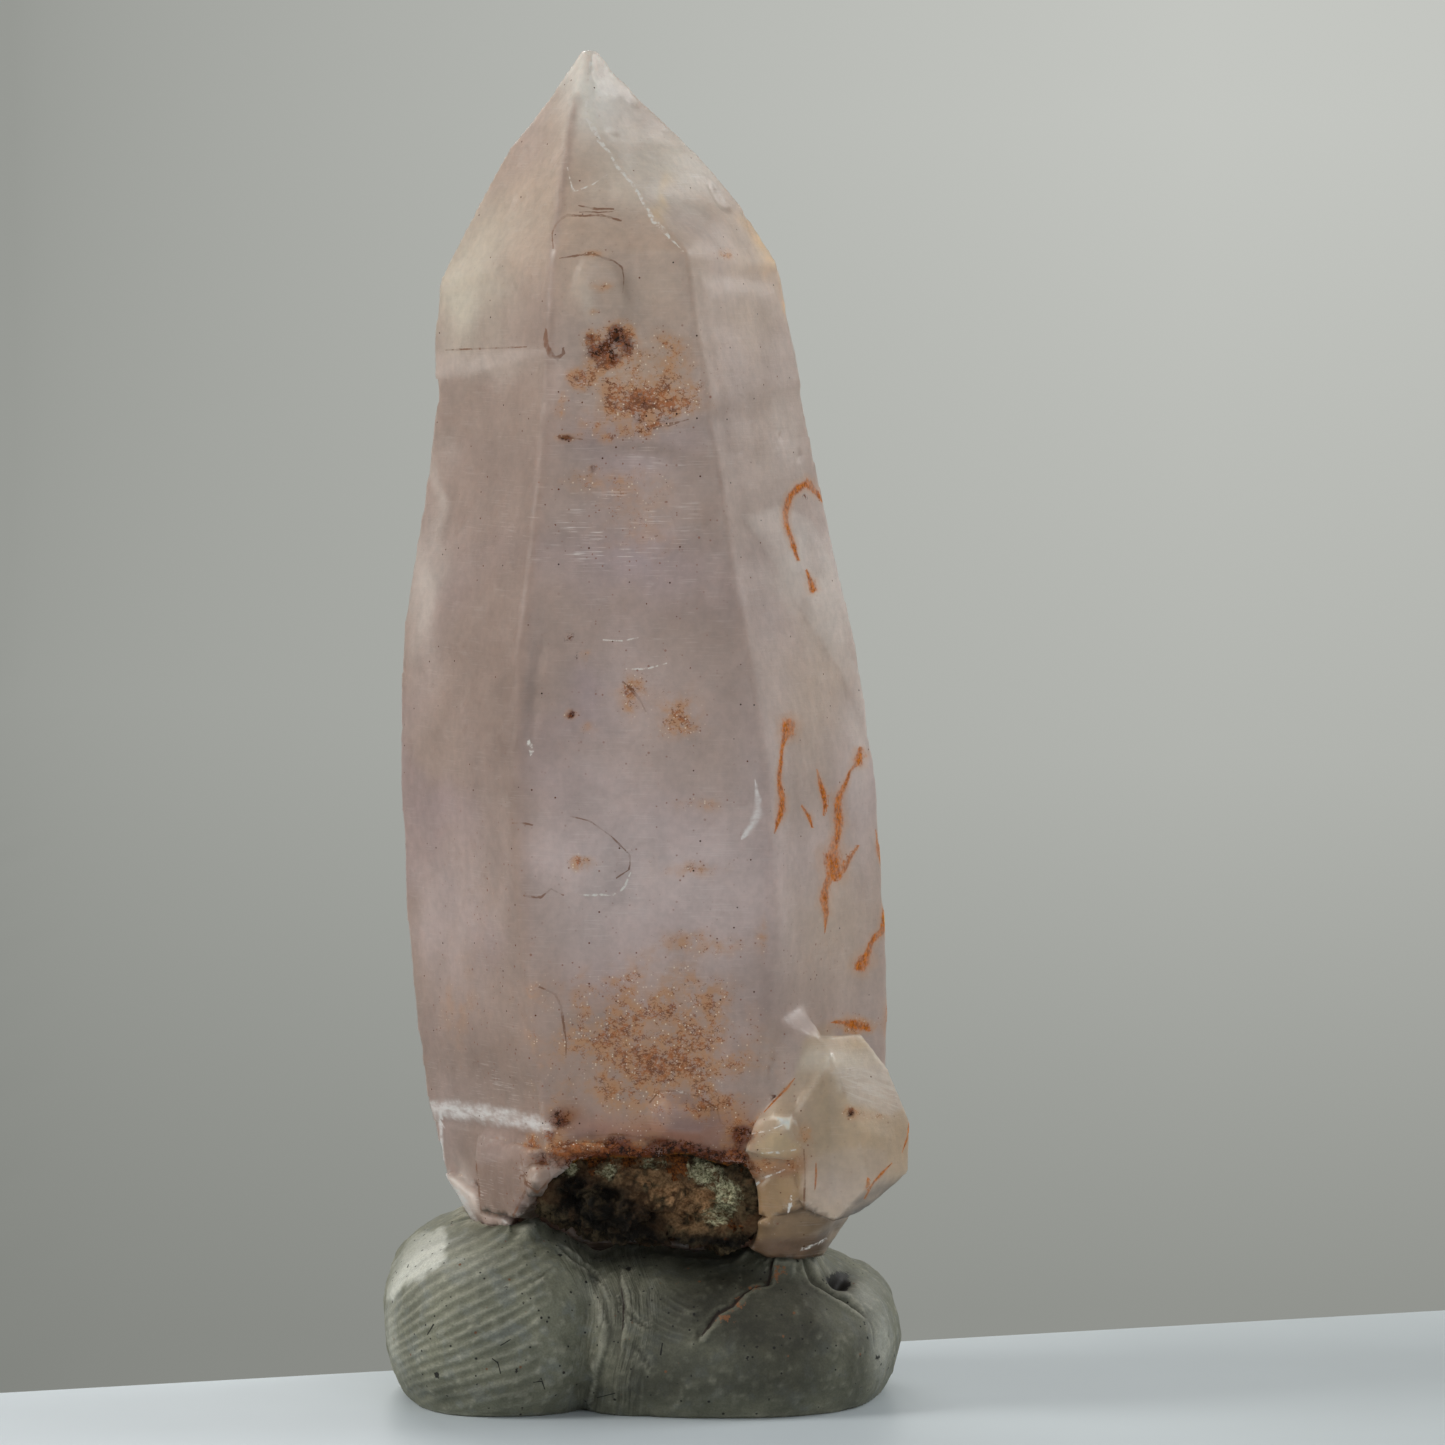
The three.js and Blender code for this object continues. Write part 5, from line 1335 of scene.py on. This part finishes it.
# Greys of the backdrop's painted light down its left and its right side, as (v, grey), and how soon it grows
# lighter across
BACKDROP_LEFT = [(100, 148), (700, 151), (1370, 130)]
BACKDROP_RIGHT = [(100, 196), (760, 177), (1320, 145)]
BACKDROP_ACROSS = 1200
BACKDROP_CURVE = 0.6
BACKDROP_TINT = (0, 2, -3)
# How finely the sheets are divided
SEAM_COLUMNS = 41
FLAT_ROWS = 25
SWEEP_ROWS = 9
WALL_ROWS = 40


def floor_material():
    s = Shader("pale_floor")
    x = s.add("ShaderNodeSeparateXYZ", {0: s.where}).outputs[0]
    across = s.step(x, *FLOOR_X)
    base = s.shaded(s.mix(across, *FLOOR_TONES), s.shading(0.02, 14.0))
    s.finish(Base_Color=base, Roughness=0.34, Specular_IOR_Level=0.35)
    return s.material


def backdrop_material():
    """Grey paper with a glow of its own that the lamps don't shade, painted light."""
    s = Shader("backdrop_paper")
    s.finish(Base_Color=(0, 0, 0), Roughness=1.0, Specular_IOR_Level=0.0, Emission_Strength=1.0,
             Emission_Color=s.attribute("tone", "Color"))
    return s.material


def backdrop_tones(points):
    """A soft gradient of painted light, lighter towards the upper right, laid out as the camera sees it."""
    u, v = pixels_of(points).T
    left, right = (np.interp(v, *np.array(side).T) for side in (BACKDROP_LEFT, BACKDROP_RIGHT))
    grey = left + (right - left) * np.clip(u / BACKDROP_ACROSS, 0, 1) ** BACKDROP_CURVE
    return np.array([colour(*(g + t for t in BACKDROP_TINT)) for g in grey])


def on_floor(u, v):
    """The place on the floor that a photo pixel shows, as x and y."""
    direction = ray(u, v)
    return EYE[:2] - np.array(direction.xy) * EYE[2] / direction.z


def backdrop_rows(columns, seam):
    """The paper from the floor's seam to the top, row by row. Where it lies flat, the rows are evenly spaced
    in the camera's picture."""
    rows = []
    for share in np.linspace(0, 1, FLAT_ROWS):
        nearness = (1 - share) / (seam - EYE[1]) + share / (SWEEP_START - EYE[1])
        rows.append((1 / nearness + EYE[1], 0.0))
    for angle in np.linspace(0, math.pi / 2, SWEEP_ROWS)[1:]:
        y = SWEEP_START + SWEEP_RADIUS * math.sin(angle)
        rows.append((np.full(len(columns), y), SWEEP_RADIUS * (1 - math.cos(angle))))
    rows += [(rows[-1][0], z) for z in np.linspace(SWEEP_RADIUS, WALL_TOP, WALL_ROWS)[1:]]
    return rows


def sheet(name, columns, rows, material):
    """A sheet over a grid of places, each row with its own y and z."""
    wide = len(columns)
    corners = [(x, y, z) for row, z in rows for x, y in zip(columns, row)]
    faces = [(wide * k + i, wide * k + i + 1, wide * (k + 1) + i + 1, wide * (k + 1) + i)
             for k in range(len(rows) - 1) for i in range(wide - 1)]
    mesh = bpy.data.meshes.new(name)
    mesh.from_pydata(corners, [], faces)
    for polygon in mesh.polygons:
        polygon.use_smooth = True
    mesh.materials.append(material)
    piece = new_piece(name, mesh)
    return piece


def make_stage():
    start, end = (on_floor(*spot) for spot in FLOOR_LINE)
    slant = (end[1] - start[1]) / (end[0] - start[0])
    columns = np.r_[-STAGE_HALF, np.linspace(-SEAM_HALF, SEAM_HALF, SEAM_COLUMNS), STAGE_HALF]
    seam = start[1] + slant * (np.clip(columns, -SEAM_HALF, SEAM_HALF) - start[0])
    sheet("floor", columns, [(np.full(len(columns), -STAGE_HALF), 0.0), (seam, 0.0)], floor_material())
    backdrop = Skin(sheet("backdrop", columns, backdrop_rows(columns, seam), backdrop_material()))
    backdrop.keep_colour("tone", backdrop_tones(backdrop.points))


# The studio's lamps: place and the height they point at in millimetres, side in millimetres, power and tone
LAMPS = {
    "key": ((-230, -50, 170), 22, 110, 0.46, (1.0, 0.985, 0.95)),
    "rim": ((180, 60, 150), 24, 110, 0.24, (1.0, 1.0, 1.0)),
    "back": ((-70, 250, 190), 26, 120, 0.2, (1.0, 0.99, 0.97)),
    "front": ((50, -260, 110), 24, 220, 0.2, (0.98, 0.99, 1.0)),
}
ROOM_TONE = (0.9, 0.95, 0.97, 1)
ROOM_STRENGTH = 0.24


def make_lights():
    world = bpy.data.worlds.new("studio")
    world.use_nodes = True
    background = world.node_tree.nodes["Background"]
    background.inputs["Color"].default_value = ROOM_TONE
    background.inputs["Strength"].default_value = ROOM_STRENGTH
    bpy.context.scene.world = world
    for name, (place, height, side, power, tone) in LAMPS.items():
        light = bpy.data.lights.new(name, "AREA")
        light.size = side * MM
        light.energy = power
        light.color = tone
        lamp = new_piece(name, light)
        lamp.location = Vector(place) * MM
        aim = Vector((0, 0, height)) * MM - lamp.location
        lamp.rotation_euler = aim.to_track_quat("-Z", "Y").to_euler()


def make_camera():
    data = bpy.data.cameras.new("camera")
    data.lens = LENS
    data.sensor_width = SENSOR
    data.clip_start = 10 * MM
    camera = new_piece("camera", data)
    camera.location = EYE
    camera.rotation_euler = Vector(FORWARD).to_track_quat("-Z", "Y").to_euler()
    bpy.context.scene.camera = camera


make_camera()
crust = make_crust()
crystal = make_crystal(crust.tree())
make_putty(crystal.tree())
make_stage()
make_lights()
bpy.context.scene.view_settings.view_transform = "Standard"
